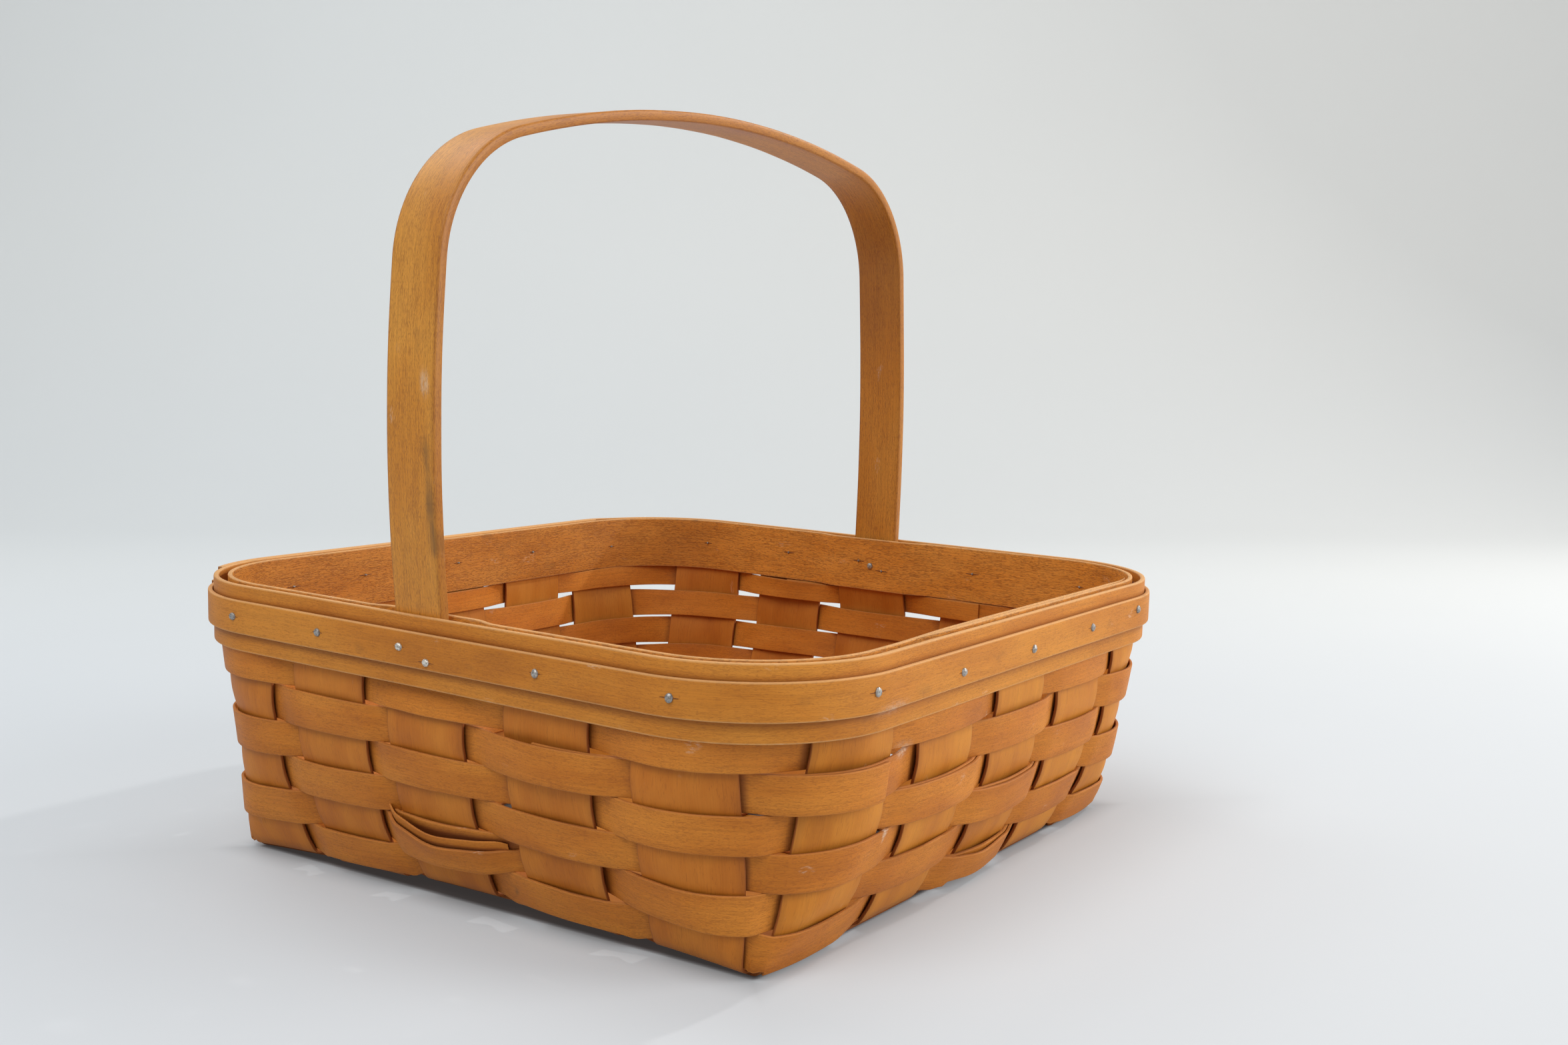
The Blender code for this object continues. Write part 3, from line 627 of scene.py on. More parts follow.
def run_of(length, thickness, step):
    """Points from edge to edge: distance, share of the thickness, share of cut wood."""
    near = edge_steps(thickness)
    first = near[-1][0]
    count = max(2, round((length - 2 * first) / step))
    inner = [(first + (length - 2 * first) * n / count, 1.0, 0.0) for n in range(1, count)]
    return near + inner + [(length - d, e, c) for d, e, c in reversed(near)]


def columns_of(width, thickness, step=0.003):
    return [(d / width, e, c, d) for d, e, c in run_of(width, thickness, step)]


def set_vectors(mesh, label, values):
    noted = mesh.attributes.new(label, 'FLOAT_VECTOR', 'POINT')
    noted.data.foreach_set('vector', [part for value in values for part in value])


def set_values(mesh, label, values):
    mesh.attributes.new(label, 'FLOAT', 'POINT').data.foreach_set('value', values)


def strip(name, rows, columns, place, shift, thickness, ripple, finish, replaces=True):
    """Strip of wood on a grid of points. A row or column is (its own place, ease, cut, length for
    the grain); place gives the point and how dark the painted shade and stain are on its outer
    and its inner face. ripple is its depth, length and seed."""
    spots, wood = [], []
    values = {'ease': [], 'cut': [], 'stain_and_painted_shade': [], 'stain_and_painted_shade_inside': [], 'marks': []}
    for at, row_ease, row_cut, along in rows:
        for share, ease, cut, across in columns:
            # Besides the point, place gives the painted shade, with stain, on the outer and the inner face
            point, shade_and_stain, shade_and_stain_inside = place(at, share)
            spots.append(leaned(point))
            wood.append((along + shift, across + shift * 0.37, 0.0))
            here = (min(row_ease, ease), max(row_cut, cut), shade_and_stain, shade_and_stain_inside, marked(spots[-1]))
            for kept, value in zip(values.values(), here):
                kept.append(value)
    wide = len(columns)
    corners = [i * wide + j for i in range(len(rows) - 1) for j in range(wide - 1)]
    mesh = bpy.data.meshes.new(name)
    mesh.from_pydata([tuple(p) for p in spots], [], [(a, a + wide, a + wide + 1, a + 1) for a in corners])
    for label, kept in values.items():
        set_values(mesh, label, kept)
    set_vectors(mesh, 'wood', wood)
    inputs = {'Thickness': thickness, 'Finish': FINISH[finish],
              **dict(zip(('Ripple', 'Ripple Length', 'Seed'), ripple))}
    grown(name + '_wood', mesh, TREES['strip'], inputs, [name] if replaces else [])


def row_edges(row):
    """Bottom and top of a row of weaving."""
    if row == ROWS - 1:
        return TOP_WEAVER_Z, BAND_BOTTOM - GAP
    bottom = WEAVER_FIRST_Z + row * WEAVER_PITCH
    return bottom, bottom + WEAVER_HEIGHT


def weaver_is_out(row, stake):
    return (stake + ROWS - 1 - row) % 2 == 0


def dim_side(wall, right):
    """Whether a splint's edge, right or left, turns from the light on its wall."""
    return (wall == 0 and right) or (wall == 1 and not right)


def splint_shade_and_stain(stake, z, side, outside):
    """How dark the painted shade and pooled stain are on a splint: under weavers, beside them and at its
    edges, most at the edge that turns from the light.
    side runs from -1 to 1 across it, in the direction that the weavers run."""
    # Painted shade along the splint's edges, deeper on the side turned from the light
    edge = 0.6 if dim_side(stake // LANES, side > 0) else 0.25
    shade_and_stain = edge * smooth((abs(side) - 0.95) / 0.05)
    for row in range(ROWS):
        low, high = row_edges(row)
        if low <= z <= high:
            near = min(z - low, high - z)
            # Painted shade under a weaver, and in a thin band beside its edges in the windows
            if weaver_is_out(row, stake) == outside:
                return max(shade_and_stain, 0.9 * smooth((near - 0.001) / 0.002))
            return max(shade_and_stain, 0.20 * (1 - smooth(near / 0.0010)))
    return max(shade_and_stain, 0.25)


def splint(index, along_x):
    """Splint up one wall, across the base and up the opposite wall."""
    drift, crossed = (DRIFT_ALONG_X, DRIFT_ALONG_Y) if along_x else (DRIFT_ALONG_Y, DRIFT_ALONG_X)
    across_at = lane(index, drift)
    lanes_crossed = [lane(j, crossed) for j in range(LANES)]
    heights = [BASE_LOW if (index + j) % 2 == along_x else BASE_HIGH for j in range(LANES)]

    def base_height(distance):
        """Height over the base: under or over each splint that is crossed."""
        for j in range(LANES - 1):
            start, end = lanes_crossed[j] + SPLINT_WIDTH / 2, lanes_crossed[j + 1] - SPLINT_WIDTH / 2
            if distance < end:
                share = smooth((distance - start) / (end - start))
                return heights[j] + (heights[j + 1] - heights[j]) * share
        return heights[-1]

    halves = []
    for side in (-1, 1):
        base_z = heights[0 if side < 0 else -1]
        turn = pi / 2 - wall_slope(base_z + SPLINT_BEND_R)
        end_z = base_z + SPLINT_BEND_R * (1 - cos(turn))
        start = half_width(end_z) - SPLINT_BEND_R * sin(turn)
        wall_length = SPLINT_TOP - end_z
        run = run_of(2 * wall_length, SPLINT_T, STEP)
        half = [(('wall', side, SPLINT_TOP - d), e, c) for d, e, c in run if d < wall_length - STEP * 0.6]
        half.append((('wall', side, end_z), 1.0, 0.0))
        for n in range(1, BEND_STEPS):
            angle = turn * (1 - n / BEND_STEPS)
            distance = start + SPLINT_BEND_R * sin(angle)
            height = base_z + SPLINT_BEND_R * (1 - cos(angle))
            half.append((('base', side * distance, height), 1.0, 0.0))
        halves.append((half, start))
    (first, flat_from), (last, flat_to) = halves
    count = round((flat_to + flat_from) / STEP)
    flat = []
    for n in range(count + 1):
        distance = -flat_from + (flat_to + flat_from) * n / count
        flat.append((('base', distance, base_height(distance)), 1.0, 0.0))

    walls = {-1: 0 if along_x else 1, 1: 2 if along_x else 3}

    def place(station, share):
        across = 0.5 - share if along_x else share - 0.5
        offset = across_at + across * SPLINT_WIDTH
        if station[0] == 'base':
            distance, z = station[1:]
            cup = 0.0001 * cos(pi * across)
            point = (distance, offset, z + cup) if along_x else (offset, distance, z + cup)
            # Painted shade on the base, deeper at the splint's edges
            shade_and_stain = 0.15 + 0.35 * smooth((abs(across) - 0.44) / 0.06)
            return Vector(point), shade_and_stain, shade_and_stain
        side, z = station[1:]
        wall = walls[side]
        flip = -1 if wall in (0, 3) else 1
        stake = wall * LANES + (LANES - 1 - index if flip < 0 else index)
        out = 0.0
        for row in range(ROWS):
            bottom, top = row_edges(row)
            lump = exp(-((z - (bottom + top) / 2) / (WEAVER_HEIGHT * 0.42)) ** 2)
            out += lump * SPLINT_SWAY * (-1 if weaver_is_out(row, stake) else 1)
        out += 0.0002 * cos(pi * across)
        # Painted shade, with stain, on the outer and the inner face
        shades_and_stains = [splint_shade_and_stain(stake, z, 2 * across * flip, outside) for outside in (True, False)]
        return (wall_point(wall, offset * flip, z, out), *shades_and_stains)

    rows, length, last_point = [], 0.0, None
    for station, ease, cut in first + flat + last[::-1]:
        point = place(station, 0.5)[0]
        length += (point - last_point).length if last_point else 0.0
        last_point = point
        rows.append((station, ease, cut, length))
    name = 'splint_%s_%d' % ('along_x' if along_x else 'along_y', index + 1)
    strip(name, rows, columns_of(SPLINT_WIDTH, SPLINT_T), place, 1.7 * index + (0.6 if along_x else 9.3),
          SPLINT_T, (0.00012, 0.012, index + 3), 'splint_x' if along_x else 'splint_y')


def weaver(row):
    """Weaver: over and under the splints, once round, with its ends on each other."""
    bottom, top = row_edges(row)
    middle = (bottom + top) / 2
    half = SPLINT_WIDTH / 2
    first_stake, last_stake, reach = WEAVER_LAPS[row]

    def length_at(at, z=middle):
        """Length at a place (splint, part): part runs from -1 to 1 over it and to 2 in the space after."""
        stake, part = at
        here = stake_length(stake, z)
        if part <= 1:
            return here + part * half
        edge, next_edge = here + half, stake_length(stake + 1, z) - half
        return edge + (next_edge - edge) * (part - 1)

    def wave_at(at):
        stake, part = at
        sign = 1 if weaver_is_out(row, stake) else -1
        if part <= 1:
            return sign * (1 + WEAVER_BULGE / WEAVER_CLEAR * cos(pi / 2 * part))
        return sign * (0.45 * cos(pi * (part - 1)) + 0.55 * (3 - 2 * part))

    start_at, end_at = (first_stake, -LAP_TAIL), (last_stake + STAKES, reach)
    begin, finish = length_at(start_at), length_at(end_at)
    places = []
    for stake in range(first_stake, last_stake + STAKES + 1):
        gap_steps = CORNER_STEPS if stake % LANES == LANES - 1 else SPACE_STEPS
        parts = [-1 + 2 * n / SPLINT_STEPS for n in range(SPLINT_STEPS)]
        parts += [1 + n / gap_steps for n in range(gap_steps)]
        places += [(stake, part) for part in parts]
    near = edge_steps(WEAVER_T)
    clear = near[-1][0] + 0.0004
    rows = [((start_at[0], start_at[1] + d / half), e, c) for d, e, c in near]
    rows += [(at, 1.0, 0.0) for at in places if begin + clear < length_at(at) < finish - clear]
    rows += [((end_at[0], end_at[1] - d / half), e, c) for d, e, c in reversed(near)]
    rows = [(at, e, c, length_at(at)) for at, e, c in rows]

    lap_start = length_at((first_stake + STAKES, -LAP_TAIL))
    lap_end = length_at((last_stake, reach))
    buckle, under_buckle = [length_at((BUCKLED_STAKE + turn, 0.0)) for turn in (STAKES, 0)]
    lapped = length_at((SAGGED_STAKE + STAKES, 0.0))

    def place(at, share, leaf=False):
        length = length_at(at)
        wave = wave_at(at)
        first = 1 - smooth((length - lap_end) / SPLINT_WIDTH)
        last = smooth((length - lap_start + SPLINT_WIDTH) / SPLINT_WIDTH)
        spread = WEAVER_T + GAP
        out = wave * (WEAVER_CLEAR + spread / 2 * max(first, last)) + spread / 2 * (last - first)
        high = bottom + share * (top - bottom)
        z = high + CUT_WAVE * (share - 0.5) * 2 * drifting(length, row + (11 if share > 0.5 else 3), 0.03)
        z += CUT_WAVE * drifting(length, row + 31, 0.08)
        # Painted shade along the weaver's top and bottom edges
        edge = 0.25 * smooth((abs(share - 0.5) - 0.44) / 0.06)
        if row == 0:
            z -= WEAVER_DIP * max(min(wave, 1.0), -1.0)
            if to_wall(length, middle)[0] == 0:
                z -= FIRST_ROW_DROOP * (1 - share) * exp(-((wave - 0.1) / 0.55) ** 2)
                z += FIRST_ROW_TUCK * (1 - share) * smooth(wave + 0.6)
            else:
                z += TUCK_AT.get(at[0] % STAKES, FIRST_ROW_TUCK) * (1 - share) * smooth(wave * 1.3)
            sag = exp(-((length - lapped) / half + 0.1) ** 2 / 0.5)
            z -= LAP_SAG * sag * share
            out += LAP_SAG / 2 * sag
        if row == BUCKLED_ROW:
            off = (length - buckle) / half
            off_under = abs(length - under_buckle) / half
            z += BUCKLE_UNDER_RISE * share * smooth((2.0 - off_under) / 1.2)
            if abs(off) < 2.5:
                low, drop = traced(off, BUCKLE_BOTTOM), traced(off, BUCKLE_TOP)
                z -= low + (drop - low) * share
                out += traced(off, BUCKLE_OUT) * (0.4 + 0.6 * share)
            # Painted shade in the pocket under the buckled outer layer, on the layer beneath it
            if off_under < 2.2:
                edge = max(edge, 1.1 * smooth((0.96 - share) / 0.20) * smooth((2.2 - off_under) / 0.6))
        if leaf:
            z += BUCKLE_LEAF_RISE * smooth((2.2 - abs(off)) / 0.8)
            out -= WEAVER_T * 0.9 * smooth((2.0 - abs(off)) / 0.8)
            # Painted shade on the split leaf below its top edge
            edge = 0.9 * smooth((0.80 - share) / 0.10)
        wall, along = to_wall(length_at(at, high), high)
        point = wall_point(wall, along, z, out)
        point.z += CLOSE_ROWS * (share - 0.5) * 2 * smooth(1 - (point.x + point.y) / 0.06)
        # Painted shade where the weaver turns behind a splint, deeper on the side turned from the light
        crossing_shade = 0.8 if dim_side(wall, (at[1] < 1.5) == (at[1] > 0)) else 0.45
        return (point, *[max(edge, crossing_shade * smooth((-side * wave - 0.74) / 0.24)) for side in (1, -1)])

    ripple = (0.00025, 0.016, row + 21)
    strip('weaver_%d' % (row + 1), rows, columns_of(top - bottom, WEAVER_T, 0.0025), place, 2.3 * row + 20.4,
          WEAVER_T, ripple, 'weaver')
    if row == BUCKLED_ROW:
        crossed = [entry for entry in rows if abs(entry[3] - buckle) < 1.8 * half]
        crossed = [(at, min(1.0, 0.2 + 0.4 * min(n, len(crossed) - 1 - n)), c, d)
                   for n, (at, e, c, d) in enumerate(crossed)]
        columns = [(0.45 + 0.55 * share, e, c, d)
                   for share, e, c, d in columns_of(top - bottom, WEAVER_T / 2, 0.0025)]
        strip('split_leaf', crossed, columns, lambda at, share: place(at, share, True), 27.5,
              WEAVER_T / 2, ripple, 'weaver', False)


def outer_lap_rise(length):
    """Rise of the trim strip over the outer band's lap, up to where its own ends meet."""
    side = quarter(TRIM_MIDDLE_Z)
    start = OUTER_LAP[1] * RIM_WIDTH - LAP_EASE * 4 / 3
    half_round = WALLS / 2 * side
    along = (length - OUTER_LAP[0] * side + half_round) % (2 * half_round) - half_round
    if along > (TRIM_ENDS[1] + TRIM_ENDS[2]) / 2 * RIM_WIDTH:
        return 0.0
    return smooth((along - start) / LAP_EASE) * (OUTER_BAND_T + GAP)


def band(name, bottom, height, mid, lap, lap_side, thickness, finish, shift,
         shade_and_stain_at=lambda z: 0.0, shaved=0.0, inside_shade_at=lambda wall, along: 0.0):
    """Band round the rim, with its ends lapped towards lap_side. With 0, it lies on the outer band."""
    side = quarter(bottom + height / 2)
    start = lap[0] * side + lap[1] * RIM_WIDTH
    over = (lap[2] - lap[1]) * RIM_WIDTH
    total = WALLS * side + over

    def place(length, share):
        rise = smooth((length - start - WALLS * side + LAP_EASE) / (LAP_EASE + shaved))
        out = mid + (lap_side * rise * (thickness + GAP) if lap_side else outer_lap_rise(length))
        z = bottom + share * height
        wall, along = to_wall(length, z)
        point = wall_point(wall, along, z, out, mid < 0)
        point.z += 0.00025 * (share - 0.5) * drifting(length, shift, 0.06)
        # Darker towards the ends; the outer and inner faces also take the painted shade given for them
        end = 0.9 * (1 - smooth(min(length - start, start + total - length) / 0.0015))
        return point, max(shade_and_stain_at(z), end), max(end, inside_shade_at(wall, along))

    def thinned(d):
        return 0.12 + 0.88 * smooth(min(d, total - d) / shaved) if shaved else 1.0

    rows = [(start + d, e * thinned(d), 0.0, d) for d, e, c in run_of(total, thickness, STEP)]
    ripple = (0.0003, 0.05, int(shift))
    strip(name, rows, columns_of(height, thickness), place, shift, thickness, ripple, finish)


def outer_band_shade_and_stain(z):
    """Painted shade in the corners above and below the trim strip, and behind it."""
    off = abs(z - TRIM_MIDDLE_Z) - TRIM_HEIGHT / 2
    return 0.9 if off < 0 else 0.85 * (1 - smooth(off / 0.0012))


def inner_band_painted_shade(wall, along):
    """Painted shade inside the wall at +Y, and inside that at +X towards it."""
    return 0.38 if wall == 3 else 0.40 * smooth((along - 0.07) / 0.06) if wall == 2 else 0.0


def handle_middle():
    """Middle of the handle from foot to foot: two legs, two bends and a low crown."""
    leg = WALL_TOP_HALF - SEAT_DEPTH + SPLINT_T / 2 + GAP + HANDLE_T / 2
    crown_r = HANDLE_CROWN_R - HANDLE_T / 2
    bend_r = HANDLE_BEND_R - HANDLE_T / 2
    crown_z = HANDLE_TOP - HANDLE_T / 2 - crown_r
    path = []
    for side in (1, -1):
        bend_x = leg - side * HANDLE_LEAN - bend_r
        aside = bend_x - side * HANDLE_CROWN_SHIFT
        bend_z = crown_z + sqrt((crown_r - bend_r) ** 2 - aside ** 2)
        crown_turn = asin(aside / (crown_r - bend_r))
        bend_from = atan(pi * HANDLE_BOW / (bend_z - RIM_HEIGHT))
        end_x, end_z = bend_x + bend_r * cos(bend_from), bend_z + bend_r * sin(bend_from)
        half = [(leg, HANDLE_FOOT_Z)]
        for n in range(LEG_STEPS):
            t = n / LEG_STEPS
            x = leg + (end_x - leg) * sin(pi / 2 * t) + HANDLE_BOW * sin(pi * t)
            half.append((x, RIM_HEIGHT + (end_z - RIM_HEIGHT) * t))
        for n in range(ARC_STEPS):
            angle = bend_from + (pi / 2 - crown_turn - bend_from) * n / ARC_STEPS
            half.append((bend_x + bend_r * cos(angle), bend_z + bend_r * sin(angle)))
        for n in range(ARC_STEPS + 1):
            angle = crown_turn * (1 - n / ARC_STEPS)
            x = side * HANDLE_CROWN_SHIFT + crown_r * sin(angle)
            half.append((x, crown_z + crown_r * cos(angle)))
        path += half if side > 0 else [(-x, z) for x, z in reversed(half[:-1])]
    return path


def handle():
    """Bentwood handle, in one strip."""
    path = handle_middle()
    lengths = [0.0]
    for (x, z), (next_x, next_z) in zip(path, path[1:]):
        lengths.append(lengths[-1] + hypot(next_x - x, next_z - z))
    total = lengths[-1]

    def place(length, share):
        n = min(max(bisect.bisect(lengths, length), 1), len(path) - 1)
        t = (length - lengths[n - 1]) / (lengths[n] - lengths[n - 1])
        x, z = [a + (b - a) * t for a, b in zip(path[n - 1], path[n])]
        y = HANDLE_OFFSET + (0.5 - share) * HANDLE_WIDTH + 0.0003 * drifting(length, 5, 0.09)
        if x < 0:
            y += HANDLE_FOOT_ASIDE * (1 - smooth((z - HANDLE_FOOT_Z) / 0.1))
        end = min(length, total - length)
        red = 0.30 * exp(-((end - 0.155) / 0.035) ** 2)
        return Vector((x, y, z)), red * 0.5, red + 0.10

    rows = [(d, e, c, d) for d, e, c in run_of(total, HANDLE_T, STEP)]
    columns = columns_of(HANDLE_WIDTH, HANDLE_T, 0.002)
    strip('handle', rows, columns, place, 41.0, HANDLE_T, (0.0003, 0.04, 8), 'handle')


def tack_reach(wall, along):
    """Outermost and innermost faces of the rim at a tack, from the splints' middle."""
    side = quarter(TRIM_MIDDLE_Z)
    outer = TRIM_MID + TRIM_T / 2 + outer_lap_rise(wall * side + along)
    inner = INNER_MID - INNER_BAND_T / 2 - handle_seat(TRIM_MIDDLE_Z, wall, along)
    lap_wall, start, end = INNER_LAP
    if wall == lap_wall and start * RIM_WIDTH - LAP_EASE < along < end * RIM_WIDTH + LAP_EASE:
        inner -= INNER_BAND_T + GAP
    return outer, inner


def tacks():
    """Tack heads outside, their points inside, and the fine splits in the wood beside them."""
    entries = []
    for wall, drifts in enumerate(TACK_DRIFT):
        for k, drift in enumerate(drifts):
            if drift:
                along = stake_place(wall * LANES + k)[1] + drift[0]
                entries.append(('wall%d_tack%d' % (wall, k + 1), wall, along, drift[1]))
    for wall, side in ((0, -1), (2, 1)):
        for n, (across, up) in enumerate(HANDLE_TACKS):
            along = side * (HANDLE_OFFSET + across * HANDLE_WIDTH)
            entries.append(('handle%d_tack%d' % (wall, n + 1), wall, along, up))
        entries.append(('handle%d_inner_tack' % wall, wall, side * HANDLE_OFFSET, INNER_TACK_UP))
    chance = random.Random(4)
    heads, splits = [], []
    for name, wall, along, up in entries:
        outer, inner = tack_reach(wall, along)

        def at(out, aside=0.0):
            return leaned(wall_point(wall, along + aside, TRIM_MIDDLE_Z + up, out, False))
        facing = (at(0.01) - at(0.0)).normalized()
        tangent = (at(outer, 0.001) - at(outer, -0.001)).normalized()
        if name.endswith('inner_tack'):
            heads.append((at(inner - 0.0002), -facing, (1, 1, 1), 0.3))
            continue
        tilt = Vector([chance.uniform(-0.12, 0.12) for _ in range(3)])
        wide = chance.uniform(0.92, 1.08)
        pale = 1.0 if name.startswith('handle') else chance.uniform(0.0, 0.35)
        heads.append((at(outer + 0.0001), (facing + tilt).normalized(), (wide, 2.05 - wide, 1), pale))
        heads.append((at(inner), -facing, (0.42, 0.30, 0.9), 0.0))
        # The tree's Z axis lies along the split
        splits.append((at(outer), tangent, (0.11, 0.11, chance.uniform(1.6, 2.8)), 0.0))
        splits.append((at(inner), tangent, (0.16, 0.16, chance.uniform(1.2, 2.6)), 0.0))
    for name, places, finish, height, dents, slot, nodes in (
            ('tack_heads', heads, 'steel', 0.0009, 0.0004, 'steel', [entry[0] for entry in entries]),
            ('splits_beside_tacks', splits, 'split', 0.0015, 0.0, 'maple', [])):
        mesh = bpy.data.meshes.new(name)
        mesh.from_pydata([tuple(entry[0]) for entry in places], [], [])
        set_values(mesh, 'pale', [entry[3] for entry in places])
        for number, label in ((1, 'facing'), (2, 'amount')):
            set_vectors(mesh, label, [entry[number] for entry in places])
        values = {'Head Radius': TACK_HEAD_R, 'Head Height': height, 'Dents': dents, 'Finish': FINISH[finish]}
        grown(name, mesh, TREES['tack'], values, nodes)


# Finishes

def steel_material():
    mat, tree, shader = new_material('Dull steel')
    spots = noise_at(add(tree, 'ShaderNodeTexCoord').outputs['Object'], 1400.0, 3.0, 0.6)
    colour = mixed(attribute(tree, 'pale'), (0.34, 0.33, 0.32, 1), (0.78, 0.74, 0.66, 1))
    colour = mixed(between(spots, 0.58, 0.38, 0.0, 0.6), colour, (0.10, 0.07, 0.05, 1))
    dress(shader, colour, between(spots, 0.3, 0.7, 0.55, 0.32), spots, 0.4, 0.0001)
    shader['Metallic'].default_value = 0.55
    return mat


def split_material():
    mat, tree, shader = new_material('Dark split in the grain')
    grain = noise_at(add(tree, 'ShaderNodeTexCoord').outputs['Object'], 2500.0)
    colour = mixed(between(grain, 0.4, 0.6), (0.10, 0.025, 0.006, 1), (0.22, 0.07, 0.016, 1))
    dress(shader, colour, between(grain, 0.3, 0.7, 0.8, 0.95), grain, 0.3, 0.0001)
    return mat


def floor_material():
    """Pale sweep: the floor keeps the shadows, and the camera sees it evenly lit."""
    mat, tree, shader = new_material('Pale paper sweep')
    place = add(tree, 'ShaderNodeTexCoord').outputs['Object']
    tooth = noise_at(place, 6.0, 3.0)
    ways = ((0.57, -0.82, 0.0), (0.817, 0.568, 0.0))
    aside, away = [vectors('DOT_PRODUCT', place, way, output=1) for way in ways]
    colour = mixed(between(aside, -0.7, 0.8), (0.645, 0.678, 0.708, 1), (0.634, 0.648, 0.660, 1))
    # Painted shadow where the base meets the ground and under its edges, with a wider soft falloff around it
    sides = parts_of(vectors('ABSOLUTE', place))
    off = maths('SUBTRACT', maths('MAXIMUM', sides[0], times(sides[1], 1 / (1 - BASE_DRAWN_IN))), BASE_HALF)
    near = maths('ADD', between(off, -0.012, 0.016, 0.50, 0.0), between(off, 0.0, 0.08, 0.11, 0.0))
    under = between(maths('SUBTRACT', sides[0], BASE_HALF), -0.004, 0.0032, 0.94, 0.0)
    near = maths('MAXIMUM', near, times(under, between(off, -0.002, 0.003, 1.0, 0.0)))
    colour = mixed(near, colour, (0.055, 0.042, 0.038, 1))
    # Painted light: lighter further back and higher up the sweep; then the paper's faint tooth
    for amount, factor in ((between(away, 0.1, 0.9), (1.085, 1.075, 1.045, 1)),
                           (between(parts_of(place)[2], 0.0, 0.4), (1.04, 1.03, 1.015, 1)),
                           (maths('SUBTRACT', 1.0, tooth), (0.985, 0.985, 0.985, 1))):
        colour = mixed(amount, colour, mixed(1.0, colour, factor, 'MULTIPLY'))
    dress(shader, colour, between(tooth, 0.3, 0.7, 0.85, 0.95), noise_at(place, 300.0), 0.05, 0.0002)
    shader['Specular IOR Level'].default_value = 0.1
    paths = add(tree, 'ShaderNodeLightPath').outputs
    seen = maths('MAXIMUM', paths['Is Camera Ray'], paths['Is Glossy Ray'])
    glow = add(tree, 'ShaderNodeEmission', colour, 1.08).outputs[0]
    lit = tree.nodes['Principled BSDF'].outputs[0]
    shown = add(tree, 'ShaderNodeMixShader', times(seen, 0.35), lit, glow).outputs[0]
    link_to(tree.nodes['Material Output'].inputs['Surface'], shown)
    return mat


def sweep():
    """Floor that curves up into a backdrop behind the basket."""
    far = Vector((-CAMERA_BACK[0], -CAMERA_BACK[1], 0.0)).normalized()
    wide = Vector((far.y, -far.x, 0.0)) * SWEEP_HALF_WIDTH
    profile = [(-1.6, 0.0), (SWEEP_FLAT, 0.0)]
    for n in range(1, SWEEP_STEPS + 1):
        angle = pi / 2 * n / SWEEP_STEPS
        profile.append((SWEEP_FLAT + SWEEP_R * sin(angle), SWEEP_R - SWEEP_R * cos(angle)))
    profile.append((SWEEP_FLAT + SWEEP_R, 2.6))
    verts = [tuple(far * along + wide * side + Vector((0, 0, height - 0.0002)))
             for along, height in profile for side in (-1, 1)]
    mesh = bpy.data.meshes.new('sweep')
    mesh.from_pydata(verts, [], [(2 * n, 2 * n + 1, 2 * n + 3, 2 * n + 2) for n in range(len(profile) - 1)])
    for face in mesh.polygons:
        face.use_smooth = True
    mesh.materials.append(floor_material())
    placed('sweep', mesh)


def lamp(name, place, target, size, power, colour=(1, 1, 1)):
    light = bpy.data.lights.new(name, 'AREA')
    light.shape = 'DISK'
    light.size = size
    light.energy = power
    light.color = colour
    obj = placed(name, light)
    obj.location = place
    obj.rotation_mode = 'QUATERNION'
    obj.rotation_quaternion = (Vector(target) - Vector(place)).to_track_quat('-Z', 'Y')


def studio():
    """Soft lamps, a pale world, the sweep and the camera."""
    scene = bpy.context.scene
    scene.view_settings.view_transform = 'Standard'
    world = bpy.data.worlds.new('Pale room')
    scene.world = world
    world.use_nodes = True
    background = world.node_tree.nodes['Background']
    background.inputs['Color'].default_value = (0.94, 0.97, 0.99, 1)
    background.inputs['Strength'].default_value = 0.40
    lamp('Window', (1.3, -0.5, 0.9), (0, 0, 0.05), 0.06, 9.0, (1.0, 0.98, 0.95))
    lamp('Right', (0.7, -1.4, 0.65), (0, 0, 0.05), 1.0, 16.6)
    lamp('Back', (0.1, 1.15, 1.5), (0, 0, 0.2), 1.0, 7.0)
    lamp('Fill', (-1.1, -0.1, 1.5), (0, 0, 0.1), 1.4, 17.0)
    sweep()
    camera = bpy.data.cameras.new('Camera')
    camera.sensor_width = 36.0
    camera.lens = 38.007
    camera.clip_start = 0.02
    camera.clip_end = 50.0
    view = placed('Camera', camera)
    turn = Matrix((CAMERA_RIGHT, CAMERA_UP, CAMERA_BACK)).transposed().to_4x4()
    view.matrix_world = Matrix.Translation(CAMERA_PLACE) @ turn
    scene.camera = view


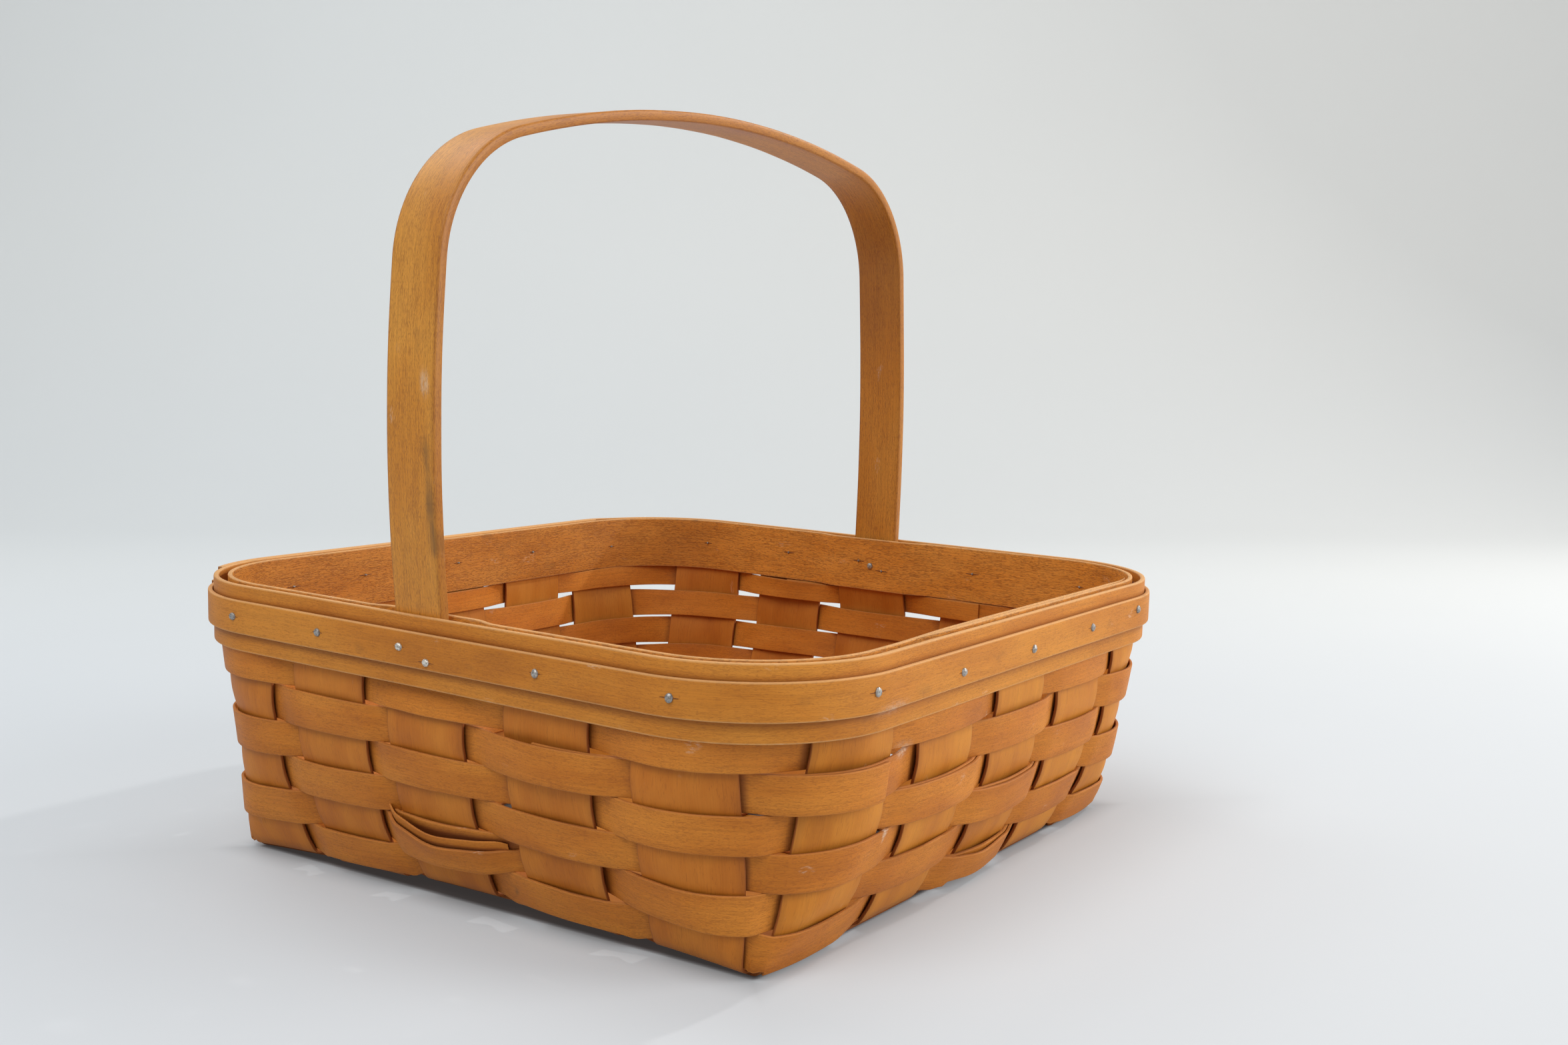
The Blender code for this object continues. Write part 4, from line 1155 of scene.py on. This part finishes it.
GROUPS = {'figure': figure_group(), 'stain': stain_and_shade_group(), 'wear': wear_group()}
TREES = {'strip': strip_tree(), 'tack': tack_tree()}
# The splints' cut edges take a dark reddish brown: painted shade in the gaps beside them
SPLINT_LOOK = dict(
    relief=0.2, Fleck_Length=0.005, Fleck_Depth=0.26, Pale=(0.25, 0.07, 0.015, 1),
    Cut_Paleness=0.8, Fibre_Depth=0.45, Scuffs=0.2, Grime=0.08)
FINISH = {
    # Painted light: the splints along Y, up the walls at -Y and +Y, are a paler and yellower copy for the
    # brighter, cooler light on the wall at -Y; those along X are the darker copy
    'splint_x': wood_material(
        'Honey maple splint along X, shaded copy', 0.22, (0.50, 0.150, 0.0135), (0.59, 0.205, 0.025), **SPLINT_LOOK),
    'splint_y': wood_material(
        'Honey maple splint along Y, lit copy', 0.20, (0.53, 0.178, 0.0155), (0.62, 0.241, 0.029), **SPLINT_LOOK),
    'weaver': wood_material(
        'Honey maple weaver', 0.0, (0.52, 0.162, 0.0145), (0.62, 0.221, 0.027),
        Fleck_Length=0.0022, Fleck_Width=0.00035, Fleck_Share=0.9, Fleck_Depth=0.33, Cut_Paleness=0.12,
        Fibre_Depth=0.9, Scuffs=0.35, Grime=0.10),
    'band': wood_material(
        'Honey maple band', 0.05, (0.52, 0.177, 0.0165), (0.61, 0.238, 0.032),
        Fleck_Length=0.0024, Fleck_Width=0.00035, Fleck_Share=0.85, Fleck_Depth=0.30, Cut_Paleness=0.7,
        Cut_Flecks=0.3, Blotch_Size=0.07, Fibre_Depth=0.9),
    # The inner band's rough orange wood is its own; part of its greater brightness is painted light for the
    # light reaching inside
    'inner': wood_material(
        'Rough maple inner band', 0.0, (0.67, 0.246, 0.030), (0.75, 0.308, 0.050), relief=0.9,
        Fleck_Length=0.004, Fleck_Width=0.0005, Fleck_Share=0.9, Fleck_Depth=0.5, Cut_Paleness=0.7,
        Cut_Flecks=0.3, Fibre_Depth=1.4),
    'handle': wood_material(
        'Honey maple handle', 0.02, (0.57, 0.211, 0.0165), (0.66, 0.288, 0.039), wax=0.33,
        Fleck_Length=0.0028, Fleck_Width=0.00038, Fleck_Share=0.9, Fleck_Depth=0.43, Cut_Paleness=0.6,
        Pale=(0.34, 0.12, 0.018, 1), Cut_Flecks=0.35, Grime=0.2, Blotch_Size=0.09, Fibre_Depth=1.3),
    'steel': steel_material(),
    'split': split_material(),
}

for along_x in (True, False):
    for index in range(LANES):
        splint(index, along_x)
for row in range(ROWS):
    weaver(row)
band('inner_band', BAND_BOTTOM, BAND_HEIGHT, INNER_MID, INNER_LAP, -1, INNER_BAND_T, 'inner', 51.0,
     shaved=SHAVED, inside_shade_at=inner_band_painted_shade)
band('outer_band', BAND_BOTTOM, BAND_HEIGHT, OUTER_MID, OUTER_LAP, 1, OUTER_BAND_T, 'band', 53.0,
     outer_band_shade_and_stain)
band('trim_strip', TRIM_MIDDLE_Z - TRIM_HEIGHT / 2, TRIM_HEIGHT, TRIM_MID, TRIM_ENDS, 0, TRIM_T, 'band', 57.0)
handle()
tacks()
studio()
